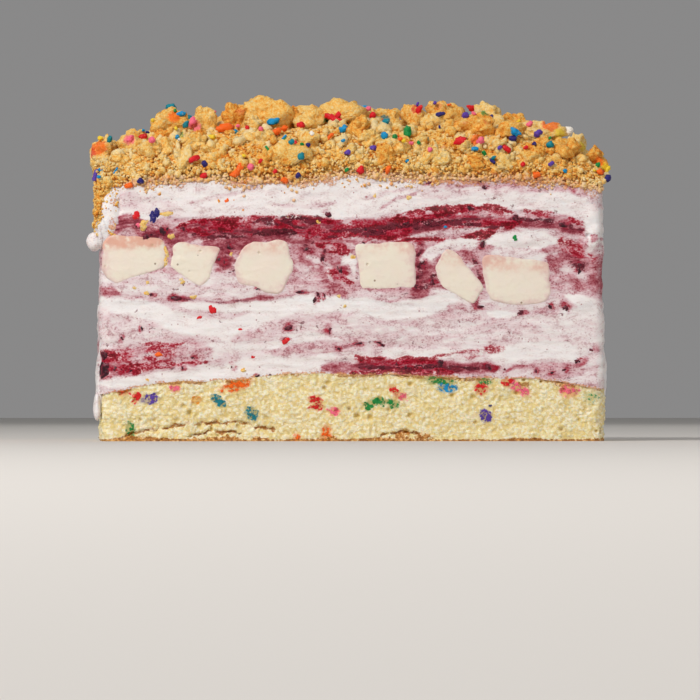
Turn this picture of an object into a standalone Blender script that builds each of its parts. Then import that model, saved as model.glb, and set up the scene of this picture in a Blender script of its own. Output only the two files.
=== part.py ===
# Slice of an ice cream layer cake: sponge base, berry-marbled ice cream with
# cheesecake chunks set in it, a berry ribbon and a crumble topping.
# Metres, +Z up. The origin is the middle of the underside. The cut face that
# shows looks along -Y, the second cut face along +Y; the ends at -X and +X
# are the outer walls of the cake.

import math

import bmesh
import bpy
import numpy as np
from mathutils import Matrix, Vector, noise

# Driving dimensions
MM = 0.001
FACE_WIDTH = 162 * MM
DEPTH = 82 * MM
HALF_WIDTH = FACE_WIDTH / 2
HALF_DEPTH = DEPTH / 2
CORNER_RADIUS = 4 * MM
GAP = 0.3 * MM
SEED = 7

# Heights of the layers' boundaries in mm, at even stations from the left end
# of the cut face to the right end.
SPONGE_TOP = (15.0, 18.4, 19.4, 21.2, 21.4, 20.9, 20.0, 19.8, 16.5)
LOWER_TOP = (44.0, 44.6, 44.8, 45.2, 44.6, 43.0, 41.4, 41.4, 44.0)
MIDDLE_TOP = (63.6, 65.2, 65.4, 65.4, 64.8, 65.6, 68.0, 67.4, 66.0)
RIBBON_TOP = (68.4, 70.6, 71.4, 71.2, 71.0, 73.4, 74.6, 72.6, 70.0)
CREAM_TOP = (81.0, 82.6, 83.0, 82.4, 84.9, 84.0, 83.6, 83.4, 80.4)
CRUMB_CORE_TOP = (90.0, 97.5, 99.5, 100.0, 101.5, 100.5, 99.5, 97.0, 89.0)

# How far each layer's end walls stand in from the full width, left and right.
TOP_INSET = (4.4 * MM, 0.4 * MM)
RIBBON_INSET = (2.6 * MM, 0.3 * MM)
MIDDLE_INSET = (0.4 * MM, 0.2 * MM)
LOWER_INSET = (0.0, 0.0)
SPONGE_INSET = (1.4 * MM, 0.9 * MM)

# The cut chunks on the front face, as outlines (x, z) in mm.
CHUNK_OUTLINES = (
    ((-78.2, 60.4), (-76.0, 62.4), (-60.4, 60.7), (-60.6, 54.9), (-75.0, 49.7), (-78.6, 53.4)),
    ((-58.0, 61.9), (-56.0, 63.4), (-42.6, 61.4), (-47.0, 50.2), (-49.4, 49.1), (-58.4, 54.9)),
    ((-34.6, 61.9), (-26.7, 63.6), (-21.1, 63.0), (-18.9, 55.8), (-23.3, 47.3), (-36.2, 50.7),
     (-37.5, 55.2)),
    ((-0.5, 61.2), (2.5, 62.5), (20.3, 62.3), (20.7, 48.4), (1.3, 47.7), (0.6, 52.5)),
    ((27.0, 54.0), (30.6, 60.0), (33.0, 59.1), (41.6, 48.4), (38.8, 43.9), (29.4, 48.9)),
    ((42.2, 57.9), (43.7, 58.5), (62.8, 56.4), (64.0, 47.7), (61.6, 43.6), (50.3, 43.2), (44.4, 46.0)),
)
CHUNK_DEPTHS = (15 * MM, 13 * MM, 16 * MM, 17 * MM, 12 * MM, 18 * MM)
CHUNK_BEVEL = 1.2 * MM
CHUNK_PROUD = 0.15 * MM

# The back face repeats chunks in another order, each turned half round in its
# own plane: (which outline, x of its middle in mm, z of its middle in mm).
BACK_CHUNKS = ((3, -62.0, 54.6), (0, -30.5, 55.0), (5, 2.0, 55.2), (2, 33.5, 54.4), (1, 62.5, 54.4))

# The larger clumps along the front and ridge of the crumble, seen from the
# front: (x, z, width, height) in mm. Smaller ones lie on both slopes, and the
# rest of the top is strewn with them.
FRONT_CLUMPS = (
    (-79.6, 95.0, 7.5, 6.5), (-69.6, 98.2, 9.0, 6.5), (-58.0, 102.6, 11.5, 7.5), (-47.5, 104.0, 7.0, 5.0),
    (-43.9, 103.0, 8.5, 6.5), (-36.8, 104.6, 7.0, 8.0), (-27.0, 106.8, 13.5, 7.5), (-31.0, 102.2, 5.5, 5.0),
    (-23.0, 103.6, 8.0, 6.5), (-17.6, 105.2, 6.0, 5.0), (-10.6, 105.6, 11.0, 7.5), (-0.8, 106.6, 13.5, 8.0),
    (2.4, 100.2, 6.5, 7.5), (12.6, 105.4, 7.0, 5.5), (20.4, 106.6, 7.0, 5.5), (19.0, 103.2, 8.0, 5.0),
    (30.0, 106.2, 11.0, 7.0), (27.0, 102.6, 6.0, 6.5), (33.6, 101.0, 6.0, 5.0), (41.6, 101.4, 11.5, 7.5),
    (45.4, 105.4, 8.5, 6.0), (54.6, 104.4, 8.5, 5.0), (51.4, 99.4, 9.0, 6.5), (62.3, 99.8, 13.5, 8.0),
    (68.2, 93.4, 7.5, 8.0), (74.4, 95.4, 7.5, 8.0), (79.4, 90.8, 6.0, 7.0), (-20.4, 91.0, 10.0, 9.0),
    (-64.0, 93.6, 6.5, 5.5), (-50.0, 95.0, 6.0, 5.5), (36.5, 94.0, 6.5, 5.5), (10.5, 95.0, 6.0, 5.0),
)
CLUMP_SPREAD = 1.12
TOP_CLUMP_COUNT = 62
TOP_CLUMP_SIZE = (8.0, 13.5)
TOP_CLUMP_SPACING = 8.0 * MM
SCATTER_TRIES = 6000
SLOPE_CLUMP_COUNT = 44
SLOPE_CLUMP_SIZE = (3.8, 7.0)
CLUMP_ROUGHNESS = 0.34
CLUMP_SUNK = 1.5 * MM
CLUMP_OUT = 1.5 * MM
CREST_DEPTH = 22.0 * MM
CREST_SCATTER = (-6.0, 8.0)

# Rod sprinkles that lie on the front of the crumble: (x, z, turn in degrees),
# and how many more are strewn over the top.
FRONT_SPRINKLES = (
    (-40.8, 100.6, 5), (-50.8, 102.4, 80), (-24.4, 103.8, 20), (-23.2, 99.6, 10), (-16.6, 101.4, 70),
    (-5.6, 105.2, -25), (-3.6, 106.0, 60), (-2.6, 100.6, 30), (-20.2, 95.6, 40), (-47.4, 88.6, 15),
    (-37.0, 86.6, 48), (-66.2, 98.8, 0), (-71.0, 97.4, 30), (-17.0, 90.8, 70), (10.2, 100.0, 25),
    (17.8, 99.4, 80), (34.2, 96.6, -5), (2.4, 87.2, 65), (52.6, 99.6, -30), (60.4, 99.6, 35),
    (49.6, 93.8, 50), (58.8, 85.8, -60), (38.0, 105.6, 20), (63.8, 95.6, 15), (7.4, 105.0, 75),
)
TOP_SPRINKLE_COUNT = 20
SPRINKLE_LENGTH = 4.6 * MM
SPRINKLE_RADIUS = 0.85 * MM
SPRINKLE_SIDES = 6

# Crumb coat that clings to the upper part of the left end wall.
COAT_BOTTOM = 67.0 * MM
COAT_TOP = 86.0 * MM
COAT_PROUD = 1.2 * MM
COAT_LUMPS = 16
COAT_LUMP_SIZE = (4.0, 6.5)

# The mound: how far in from a cut face its slope runs, how far in from an end
# wall its shoulder runs, and how tall its lumps are.
MOUND_SLOPE = 13.0 * MM
MOUND_SHOULDER = 7.0 * MM
MOUND_OVERHANG = 1.5 * MM
MOUND_LUMPS = 1.2 * MM
MOUND_LUMP_LENGTH = 9.0 * MM

# The waves that a layer's boundary makes away from the cut face.
WAVE = 0.5 * MM
WAVE_LENGTH = 17.0 * MM
WAVE_SWINGS = 2.6
LATTICE = (16, 6)

# Melted cream that has run down over the sponge: (end, y, lowest z, radius) in mm.
DRIPS = ((-1, -35.0, 8.0, 4.0), (-1, -10.0, 12.0, 4.6), (-1, 20.0, 9.4, 4.4), (1, -34.0, 13.0, 3.8),
         (1, -4.0, 10.6, 4.6), (1, 25.0, 12.4, 4.2))
DRIP_TOP = 34.0 * MM
DRIP_THICKNESS = 2.0 * MM


def clear_scene():
    for item in list(bpy.data.objects):
        bpy.data.objects.remove(item, do_unlink=True)


def make_collection(name, hidden=False):
    collection = bpy.data.collections.new(name)
    bpy.context.scene.collection.children.link(collection)
    collection.hide_render = hidden
    return collection


def make_material(name, colour, roughness):
    material = bpy.data.materials.new(name)
    material.use_nodes = True
    shader = material.node_tree.nodes["Principled BSDF"]
    shader.inputs["Base Color"].default_value = (*colour, 1.0)
    shader.inputs["Roughness"].default_value = roughness
    shader.inputs["Metallic"].default_value = 0.0
    return material


def add_object(name, mesh, collection, material=None):
    item = bpy.data.objects.new(name, mesh)
    collection.objects.link(item)
    if material:
        mesh.materials.append(material)
    return item


def along_width(heights, x):
    """Height in metres at x, on a smooth curve through the stations."""
    place = (x + HALF_WIDTH) / FACE_WIDTH * (len(heights) - 1)
    place = min(max(place, 0.0), len(heights) - 1.0)
    left = min(int(place), len(heights) - 2)
    t = place - left
    before, after = heights[max(left - 1, 0)], heights[min(left + 2, len(heights) - 1)]
    start, end = heights[left], heights[left + 1]
    slope_in, slope_out = (end - before) / 2, (after - start) / 2
    a = 2 * start - 2 * end + slope_in + slope_out
    b = 3 * end - 3 * start - 2 * slope_in - slope_out
    return (((a * t + b) * t + slope_in) * t + start) * MM


def boundary(heights, x, y):
    """Height of a layer's boundary: the cut face's line, waving a little with depth."""
    into = (y + HALF_DEPTH) / DEPTH
    phase = 5 * into + 0.07 * heights[0]
    swing = math.sin(WAVE_SWINGS * math.pi * into) * math.sin(x / WAVE_LENGTH + phase)
    return along_width(heights, x) + WAVE * swing


def crowded(t, share):
    """Moves a place in -1..1 out towards the nearer end, so that rows crowd at the edges."""
    return t + share * (math.sin(math.pi / 2 * t) - t)


def plan_point(u, v, insets, bulge):
    """A point of the square -1..1 laid on the slice's outline, whose corners are round."""
    left, right = HALF_WIDTH - insets[0] + bulge, HALF_WIDTH - insets[1] + bulge
    x, y = u * (left if u < 0 else right), v * (HALF_DEPTH + bulge * 0.3)
    reach = Vector((left if u < 0 else right, HALF_DEPTH + bulge * 0.3))
    inner = reach - Vector((CORNER_RADIUS, CORNER_RADIUS))
    over = Vector((max(abs(x) - inner.x, 0), max(abs(y) - inner.y, 0)))
    longest = max(over)
    if longest > 0 and over.length > 0:
        over *= longest / over.length
    x = math.copysign(min(abs(x), inner.x) + over.x, x)
    y = math.copysign(min(abs(y), inner.y) + over.y, y)
    return x, y


def layer_mesh(name, bottom, top, insets, rows=2, bulge=0.0, lattice=LATTICE):
    """A box cut into a lattice and laid between two wavy boundaries."""
    bpy.ops.mesh.primitive_cube_add(size=2)
    box = bpy.context.object
    mesh = box.data
    bpy.data.objects.remove(box)
    mesh.name = name
    form = bmesh.new()
    form.from_mesh(mesh)
    for axis, count in enumerate((*lattice, rows)):
        for step in range(1, count):
            plane = Vector((0, 0, 0))
            plane[axis] = -1 + 2 * step / count
            normal = Vector((0, 0, 0))
            normal[axis] = 1
            parts = form.verts[:] + form.edges[:] + form.faces[:]
            bmesh.ops.bisect_plane(form, geom=parts, plane_co=plane, plane_no=normal)
    for vert in form.verts:
        u, v, w = vert.co
        swell = bulge * (1 - w * w)
        x, y = plan_point(crowded(u, 0.6), crowded(v, 1.0), insets, swell)
        low, high = bottom(x, y), top(x, y)
        vert.co = (x, y, low + (high - low) * (w + 1) / 2)
    form.to_mesh(mesh)
    form.free()
    return mesh


def joined(target, collection, operation="UNION"):
    """Applies one Boolean of target with a whole collection, and removes the collection's objects."""
    cut = target.modifiers.new("join", "BOOLEAN")
    cut.operand_type = "COLLECTION"
    cut.collection = collection
    cut.operation = operation
    cut.solver = "EXACT"
    graph = bpy.context.evaluated_depsgraph_get()
    mesh = bpy.data.meshes.new_from_object(target.evaluated_get(graph))
    target.modifiers.clear()
    target.data = mesh
    for item in list(collection.objects):
        bpy.data.objects.remove(item, do_unlink=True)
    bpy.data.collections.remove(collection)


def outline_prism(name, outline, y_start, y_end, grow=0.0, bevel=0.0):
    """An outline (x, z) drawn as a flat curve, given its depth along Y, as a closed mesh."""
    curve = bpy.data.curves.new(name, "CURVE")
    curve.dimensions = "2D"
    curve.fill_mode = "BOTH"
    curve.extrude = (y_end - y_start) / 2 - bevel
    curve.offset = grow - bevel
    curve.bevel_depth = bevel
    curve.bevel_resolution = 1
    spline = curve.splines.new("POLY")
    spline.points.add(len(outline) - 1)
    for point, (x, z) in zip(spline.points, outline):
        point.co = (x, z, 0, 1)
    spline.use_cyclic_u = True
    drawn = bpy.data.objects.new(name, curve)
    bpy.context.scene.collection.objects.link(drawn)
    upright = Matrix.Rotation(math.pi / 2, 4, "X")
    drawn.matrix_world = Matrix.Translation((0, (y_start + y_end) / 2, 0)) @ upright
    bpy.context.view_layer.update()
    graph = bpy.context.evaluated_depsgraph_get()
    mesh = bpy.data.meshes.new_from_object(drawn.evaluated_get(graph))
    mesh.transform(drawn.matrix_world)
    bpy.data.objects.remove(drawn)
    bpy.data.curves.remove(curve)
    form = bmesh.new()
    form.from_mesh(mesh)
    bmesh.ops.remove_doubles(form, verts=form.verts, dist=0.00001)
    bmesh.ops.recalc_face_normals(form, faces=form.faces)
    form.to_mesh(mesh)
    form.free()
    mesh.name = name
    return mesh


def chunk_places():
    """Every chunk: its name, outline in metres, outer y, inner y."""
    places = []
    face = -HALF_DEPTH - CHUNK_PROUD
    for index, outline in enumerate(CHUNK_OUTLINES):
        points = [(x * MM, z * MM) for x, z in outline]
        places.append((f"chunk_front_{index + 1}", points, face, face + CHUNK_DEPTHS[index]))
    for index, (which, middle_x, middle_z) in enumerate(BACK_CHUNKS):
        points = [Vector(point) for point in CHUNK_OUTLINES[which]]
        centre = sum(points, Vector((0, 0))) / len(points)
        turned = [(Vector((middle_x, middle_z)) - (point - centre)) * MM for point in points]
        outline = [(point.x, point.y) for point in turned]
        places.append((f"chunk_back_{index + 1}", outline, -face - CHUNK_DEPTHS[which], -face))
    return places


def make_chunks(collection, material):
    for name, outline, start, end in chunk_places():
        mesh = outline_prism(name, outline, start, end, bevel=CHUNK_BEVEL)
        add_object(name, mesh, collection, material)


def chunk_pockets():
    """Cutters a little larger than the chunks, which run out past the cut face."""
    cutters = make_collection("chunk_pockets", hidden=True)
    for name, outline, start, end in chunk_places():
        runs_front = start < 0
        near = start - (3 * MM if runs_front else GAP)
        far = end + (GAP if runs_front else 3 * MM)
        mesh = outline_prism("pocket_" + name, outline, near, far, grow=GAP)
        cutter = add_object("pocket_" + name, mesh, cutters)
        cutter.hide_render = True
        cutter.display_type = "WIRE"
    return cutters


def crumb_surface(x, y):
    """Top of the crumble's core: a mound with steep sides and sloping, tumbled cut faces."""
    crest = along_width(CRUMB_CORE_TOP, x)
    foot = along_width(CREAM_TOP, x)
    from_face = HALF_DEPTH - abs(y)
    from_end = HALF_WIDTH + MOUND_OVERHANG - abs(x)
    face_share = math.sin(math.pi / 2 * min(max(from_face / MOUND_SLOPE, 0), 1)) ** 0.8
    end_share = math.sin(math.pi / 2 * min(max(from_end / MOUND_SHOULDER, 0), 1)) ** 0.5
    lift = 0.22 + 0.78 * face_share
    lumps = MOUND_LUMPS * noise.noise(Vector((x, y, 0)) / MOUND_LUMP_LENGTH) * face_share
    return foot + (crest - foot) * lift * (0.45 + 0.55 * end_share) + lumps


def front_depth(x, z):
    """How far back the mound's front slope stands at height z."""
    for step in range(40):
        y = -HALF_DEPTH + step * 0.6 * MM
        if crumb_surface(x, y) >= z:
            return y
    return -HALF_DEPTH + CREST_DEPTH


def clump_mesh(name, size, seed):
    """A rough lump: an icosphere pushed in and out by noise, then scaled to size."""
    mesh = bpy.data.meshes.new(name)
    form = bmesh.new()
    bmesh.ops.create_icosphere(form, subdivisions=1, radius=0.5)
    for vert in form.verts:
        push = noise.noise(vert.co * 2.6 + Vector((seed * 3.7, 1.3 * seed, 0)))
        vert.co *= 1 + CLUMP_ROUGHNESS * push
        vert.co = Vector(a * b for a, b in zip(vert.co, size))
    form.to_mesh(mesh)
    form.free()
    return mesh


def rested_clump(x, y, top, width, height, turn):
    """A clump whose top stands where it is asked to, and whose foot is sunk in the core."""
    base = min(top - height, crumb_surface(x, y) - CLUMP_SUNK)
    return (x, y, (top + base) / 2), (width, (width + height) / 2, top - base), turn


def clump_places():
    """Centre, size and turn of every clump: the chosen ones in front, then a scatter."""
    draw = np.random.default_rng(SEED)
    places = []
    for x, z, width, height in FRONT_CLUMPS:
        x, z, width, height = x * MM, z * MM, width * MM, height * MM
        y = front_depth(x, z - 0.35 * height) + 0.15 * height
        if y > -HALF_DEPTH + CREST_DEPTH:
            y += draw.uniform(*CREST_SCATTER) * MM
        y = max(y, (width + height) / 4 - CLUMP_OUT - HALF_DEPTH)
        turn = draw.uniform(-0.35, 0.35)
        places.append(rested_clump(x, y, z + height / 2, width * CLUMP_SPREAD, height, turn))
    for index in range(SLOPE_CLUMP_COUNT):
        x = draw.uniform(-HALF_WIDTH + 4 * MM, HALF_WIDTH - 4 * MM)
        y = front_depth(x, draw.uniform(86, 98) * MM)
        size = draw.uniform(*SLOPE_CLUMP_SIZE) * MM
        y = max(y, size / 2 - CLUMP_OUT - HALF_DEPTH) * (1 if index % 3 else -1)
        places.append(((x, y, crumb_surface(x, y)), (size, size, size), draw.uniform(0, math.pi)))
    taken = [(x, y) for (x, y, z), size, turn in places]
    full = len(places) + TOP_CLUMP_COUNT
    for _ in range(SCATTER_TRIES):
        x = draw.uniform(-HALF_WIDTH + 3 * MM, HALF_WIDTH - 3 * MM)
        y = draw.uniform(-HALF_DEPTH + 15 * MM, HALF_DEPTH - 4 * MM)
        size = draw.uniform(*TOP_CLUMP_SIZE) * MM
        squash = draw.uniform(0.4, 0.62)
        turn = draw.uniform(0, math.pi)
        if len(places) < full and min(math.hypot(x - a, y - b) for a, b in taken) > TOP_CLUMP_SPACING:
            taken.append((x, y))
            top = crumb_surface(x, y) + squash * size
            places.append(rested_clump(x, y, top, size, size * squash, turn))
    return places


def add_clumps(collection):
    for index, (centre, size, turn) in enumerate(clump_places()):
        lump = add_object(f"clump_{index}", clump_mesh(f"clump_{index}", size, index), collection)
        lump.data.transform(Matrix.Translation(centre) @ Matrix.Rotation(turn, 4, "Z"))


def add_sprinkles(collection):
    """Rod sprinkles half sunk in the crumble, standing a little proud of it."""
    draw = np.random.default_rng(SEED + 1)
    places = []
    for x, z, turn in FRONT_SPRINKLES:
        x, z = x * MM, z * MM
        y = front_depth(x, z) - 0.2 * MM
        places.append((Vector((x, y, z)), Matrix.Rotation(math.radians(turn), 4, "Y")))
    for _ in range(TOP_SPRINKLE_COUNT):
        x = draw.uniform(-HALF_WIDTH + 6 * MM, HALF_WIDTH - 6 * MM)
        y = draw.uniform(-HALF_DEPTH + 16 * MM, HALF_DEPTH - 8 * MM)
        turn = draw.uniform(0, math.pi)
        places.append((Vector((x, y, crumb_surface(x, y) + 0.2 * MM)), Matrix.Rotation(turn, 4, "Z")))
    for index, (centre, turned) in enumerate(places):
        mesh = bpy.data.meshes.new(f"sprinkle_{index}")
        form = bmesh.new()
        bmesh.ops.create_cone(form, cap_ends=True, segments=SPRINKLE_SIDES, radius1=SPRINKLE_RADIUS,
                              radius2=SPRINKLE_RADIUS, depth=SPRINKLE_LENGTH)
        form.to_mesh(mesh)
        form.free()
        mesh.transform(Matrix.Translation(centre) @ turned @ Matrix.Rotation(math.pi / 2, 4, "Y"))
        add_object(f"sprinkle_{index}", mesh, collection)


def add_coat(collection):
    """The crumb coat on the left wall: a thin ragged sheet with lumps along it."""
    sheet = layer_mesh("coat", lambda x, y: COAT_BOTTOM + 2.2 * MM * math.sin(y / (7 * MM)),
                       lambda x, y: COAT_TOP, (0, 0), rows=3, lattice=(1, 10))
    inner = HALF_WIDTH - TOP_INSET[0] + GAP
    for vert in sheet.vertices:
        outer = HALF_WIDTH + COAT_PROUD + 0.9 * MM * noise.noise(vert.co / (4 * MM))
        vert.co.x = -outer if vert.co.x < 0 else -inner
        vert.co.y *= (HALF_DEPTH - COAT_PROUD) / HALF_DEPTH
    add_object("coat", sheet, collection)
    draw = np.random.default_rng(SEED + 2)
    for index in range(COAT_LUMPS):
        y = -HALF_DEPTH + (index + 0.6) * DEPTH / COAT_LUMPS
        z = draw.uniform(COAT_BOTTOM + 4 * MM, COAT_TOP + 2 * MM)
        size = draw.uniform(*COAT_LUMP_SIZE) * MM
        mesh = clump_mesh(f"coat_{index}", (size * 0.7, size, size), 90 + index)
        lump = add_object(f"coat_{index}", mesh, collection)
        lump.data.transform(Matrix.Translation((-HALF_WIDTH - COAT_PROUD / 2, y, z)))


def make_crumble(collection, material):
    """The crumble heap: its core, the coat on the left wall, and the clumps and sprinkles fused on."""
    core = layer_mesh("crumble", lambda x, y: boundary(CREAM_TOP, x, y) + 1.5 * GAP, crumb_surface,
                      (-0.6 * MM, -0.4 * MM), lattice=(18, 8))
    crumble = add_object("crumble", core, collection, material)
    lumps = make_collection("lumps")
    add_coat(lumps)
    add_clumps(lumps)
    add_sprinkles(lumps)
    joined(crumble, lumps)
    trim_against_cream(crumble)
    return crumble


def keep_largest(item):
    """Drops loose scraps, and the walls of sealed hollows, that the Booleans leave behind."""
    form = bmesh.new()
    form.from_mesh(item.data)
    islands, left = [], set(form.verts)
    while left:
        found, edge = set(), [left.pop()]
        while edge:
            vert = edge.pop()
            found.add(vert)
            near = {link.other_vert(vert) for link in vert.link_edges} & left
            left -= near
            edge.extend(near)
        islands.append(found)
    largest = max(islands, key=len)
    bmesh.ops.delete(form, geom=[vert for vert in form.verts if vert not in largest], context="VERTS")
    form.to_mesh(item.data)
    form.free()


def trim_against_cream(crumble):
    """Cuts away whatever of the fused lumps would reach into the ice cream below."""
    cutters = make_collection("cream_clearance", hidden=True)
    for name, low, high, insets in (
        ("clear_top", RIBBON_TOP, CREAM_TOP, TOP_INSET),
        ("clear_ribbon", MIDDLE_TOP, RIBBON_TOP, RIBBON_INSET),
        ("clear_middle", LOWER_TOP, MIDDLE_TOP, MIDDLE_INSET),
    ):
        wide = tuple(inset - 0.9 * GAP for inset in insets)
        mesh = layer_mesh(name, lambda x, y: boundary(low, x, y) - 0.4 * MM,
                          lambda x, y: boundary(high, x, y) + 0.9 * GAP, wide)
        for vert in mesh.vertices:
            vert.co.y *= 1.03
        add_object(name, mesh, cutters)
    joined(crumble, cutters, "DIFFERENCE")
    keep_largest(crumble)


def make_layers(collection, colours):
    """Sponge and the four ice cream layers, each standing a small gap above the one below.

    A row gives the layer's name, lower and upper boundary, insets, rows of the
    lattice, and how far its sides swell.
    """
    stack = (
        ("sponge", None, SPONGE_TOP, SPONGE_INSET, 3, -0.35 * MM),
        ("cream_lower", SPONGE_TOP, LOWER_TOP, LOWER_INSET, 4, 0.5 * MM),
        ("cream_middle", LOWER_TOP, MIDDLE_TOP, MIDDLE_INSET, 3, 0.3 * MM),
        ("berry_ribbon", MIDDLE_TOP, RIBBON_TOP, RIBBON_INSET, 2, 0.2 * MM),
        ("cream_top", RIBBON_TOP, CREAM_TOP, TOP_INSET, 2, 0.3 * MM),
    )
    layers = {}
    for name, low, high, insets, rows, bulge in stack:
        def bottom(x, y, heights=low):
            return 0.0 if heights is None else boundary(heights, x, y) + GAP

        def top(x, y, heights=high):
            return boundary(heights, x, y)

        mesh = layer_mesh(name, bottom, top, insets, rows, bulge)
        layers[name] = add_object(name, mesh, collection, colours[name])
    return layers


def add_drips(cream_lower):
    """Tongues of melted cream hanging down the end walls, kept clear of the sponge."""
    tongues = make_collection("tongues")
    for index, (end, y, lowest, radius) in enumerate(DRIPS):
        mesh = bpy.data.meshes.new(f"tongue_{index}")
        form = bmesh.new()
        bmesh.ops.create_uvsphere(form, u_segments=8, v_segments=6, radius=1)
        form.to_mesh(mesh)
        form.free()
        middle, half = (DRIP_TOP + lowest * MM) / 2, (DRIP_TOP - lowest * MM) / 2
        mesh.transform(Matrix.Translation((HALF_WIDTH * end, y * MM, middle))
                       @ Matrix.Diagonal((DRIP_THICKNESS, radius * MM, half, 1)))
        add_object(f"tongue_{index}", mesh, tongues)
    joined(cream_lower, tongues)
    clearance = make_collection("sponge_clearance", hidden=True)
    wide = tuple(inset - GAP for inset in SPONGE_INSET)
    mesh = layer_mesh("clear_sponge", lambda x, y: -3 * MM,
                      lambda x, y: boundary(SPONGE_TOP, x, y) + 0.9 * GAP, wide)
    add_object("clear_sponge", mesh, clearance)
    joined(cream_lower, clearance, "DIFFERENCE")


def main():
    clear_scene()
    cake = make_collection("ice_cream_cake_slice")
    colours = {
        "sponge": make_material("sponge", (0.78, 0.62, 0.32), 0.9),
        "cream_lower": make_material("cream_lower", (0.76, 0.60, 0.58), 0.45),
        "cream_middle": make_material("cream_middle", (0.50, 0.24, 0.25), 0.45),
        "berry_ribbon": make_material("berry_ribbon", (0.26, 0.02, 0.03), 0.35),
        "cream_top": make_material("cream_top", (0.80, 0.72, 0.69), 0.45),
        "chunk": make_material("chunk", (0.81, 0.71, 0.55), 0.5),
        "crumble": make_material("crumble", (0.60, 0.34, 0.12), 0.85),
    }
    layers = make_layers(cake, colours)
    add_drips(layers["cream_lower"])
    joined(layers["cream_middle"], chunk_pockets(), "DIFFERENCE")
    make_chunks(cake, colours["chunk"])
    make_crumble(cake, colours["crumble"])


main()
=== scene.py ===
import math

import bpy
import numpy as np
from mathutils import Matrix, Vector, noise


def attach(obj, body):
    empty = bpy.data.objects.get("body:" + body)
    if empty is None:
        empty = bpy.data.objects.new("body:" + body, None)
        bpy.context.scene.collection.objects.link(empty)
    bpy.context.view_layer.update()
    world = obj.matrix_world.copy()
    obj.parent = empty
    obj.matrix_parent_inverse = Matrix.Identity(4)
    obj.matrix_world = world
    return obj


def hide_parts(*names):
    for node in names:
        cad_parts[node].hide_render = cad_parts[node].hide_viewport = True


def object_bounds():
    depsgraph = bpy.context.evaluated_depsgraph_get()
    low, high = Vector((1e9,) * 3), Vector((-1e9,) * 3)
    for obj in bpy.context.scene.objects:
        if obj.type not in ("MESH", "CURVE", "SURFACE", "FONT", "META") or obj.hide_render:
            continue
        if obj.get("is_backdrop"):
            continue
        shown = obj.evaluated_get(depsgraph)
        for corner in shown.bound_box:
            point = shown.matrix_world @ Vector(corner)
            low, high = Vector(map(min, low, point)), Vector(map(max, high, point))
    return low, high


# A slice of ice cream layer cake: sponge, marbled ice cream with cheesecake chunks, and a crumble heap.
# Lengths are in metres. The cut face that the photo shows looks along -Y.

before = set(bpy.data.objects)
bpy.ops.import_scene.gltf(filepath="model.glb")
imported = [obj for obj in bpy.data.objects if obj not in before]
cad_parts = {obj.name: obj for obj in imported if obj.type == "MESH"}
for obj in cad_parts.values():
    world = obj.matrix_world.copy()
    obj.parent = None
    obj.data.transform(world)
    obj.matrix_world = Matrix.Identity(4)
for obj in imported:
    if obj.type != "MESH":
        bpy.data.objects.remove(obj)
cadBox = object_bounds()
mm = 0.001

cake = {
    "halfWidth": 81 * mm,
    "halfDepth": 41 * mm,
    "corner": 4 * mm,
    "waveHeight": 0.5 * mm,
    "waveLength": 17 * mm,
    "waveSwings": 2.6,
    "crinkle": 0.35 * mm,
    "crinkleSize": 6 * mm,
    # the photo's pixels on the cut face: one pixel's size, and the pixel of the origin
    "pixel": 0.323 * mm,
    "originPixel": (352, 437),
}
halfWidth, halfDepth = cake["halfWidth"], cake["halfDepth"]

# Heights of the layers' upper boundaries in mm at nine even stations, left to right, and how far
# the end walls stand in, left and right.
layers = {
    "sponge": {"top": (15.0, 18.4, 19.4, 21.2, 21.4, 20.9, 20.0, 19.8, 16.5), "insets": (1.4, 0.9)},
    "creamLower": {"top": (44.0, 44.6, 44.8, 45.2, 44.6, 43.0, 41.4, 41.4, 44.0), "insets": (0.0, 0.0)},
    "creamMiddle": {"top": (63.6, 65.2, 65.4, 65.4, 64.8, 65.6, 68.0, 67.4, 66.0), "insets": (0.4, 0.2)},
    "berryRibbon": {"top": (68.4, 70.6, 71.4, 71.2, 71.0, 73.4, 74.6, 72.6, 70.0), "insets": (2.6, 0.3)},
    "creamTop": {"top": (81.0, 82.6, 83.0, 82.4, 84.9, 84.0, 83.6, 83.4, 80.4), "insets": (4.4, 0.4)},
}
crumbCore = (90.0, 97.5, 99.5, 100.0, 101.5, 100.5, 99.5, 97.0, 89.0)


# Large odd factors that mix a cell's whole numbers and a seed.
mixing = {
    "axes": (73856093, 19349663, 83492791),
    "seed": (40503, 977),
    "rounds": ((13, 1274126177), (16, 668265263)),
    "lastShift": 15,
    "mask": 0xFFFFFF,
}


# Numbers from 0 to 1 that are always the same for the same whole-number cell and seed.
def cellRandom(cell, seed):
    factor, start = mixing["seed"]
    mixed = seed * factor + start
    for axis, times in enumerate(mixing["axes"]):
        mixed = cell[..., axis] * times ^ mixed
    for shift, times in mixing["rounds"]:
        mixed = (mixed ^ (mixed >> shift)) * times
    return ((mixed ^ (mixed >> mixing["lastShift"])) & mixing["mask"]) / mixing["mask"]


# Random heights at lattice corners, blended by t*t*(3-2t) along each axis: -1 to 1.
def softNoise(points, size, seed):
    place = points / np.asarray(size, float)
    base = np.floor(place).astype(np.int64)
    t = place - base
    t = t * t * (3 - 2 * t)
    total = np.zeros(points.shape[:-1])
    for corner in np.ndindex(2, 2, 2):
        weight = np.prod(np.where(np.array(corner) == 1, t, 1 - t), axis=-1)
        total += weight * cellRandom(base + np.array(corner), seed)
    return total * 2 - 1


# Soft noise added to itself at half the size and half the height, a few times over.
def roughNoise(points, size, seed, octaves=3):
    total, height = 0, 1.0
    for octave in range(octaves):
        finer = np.asarray(size, float) / 2 ** octave
        total = total + height * softNoise(points + octave * 0.37, finer, seed + octave)
        height *= 0.5
    return total


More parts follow.
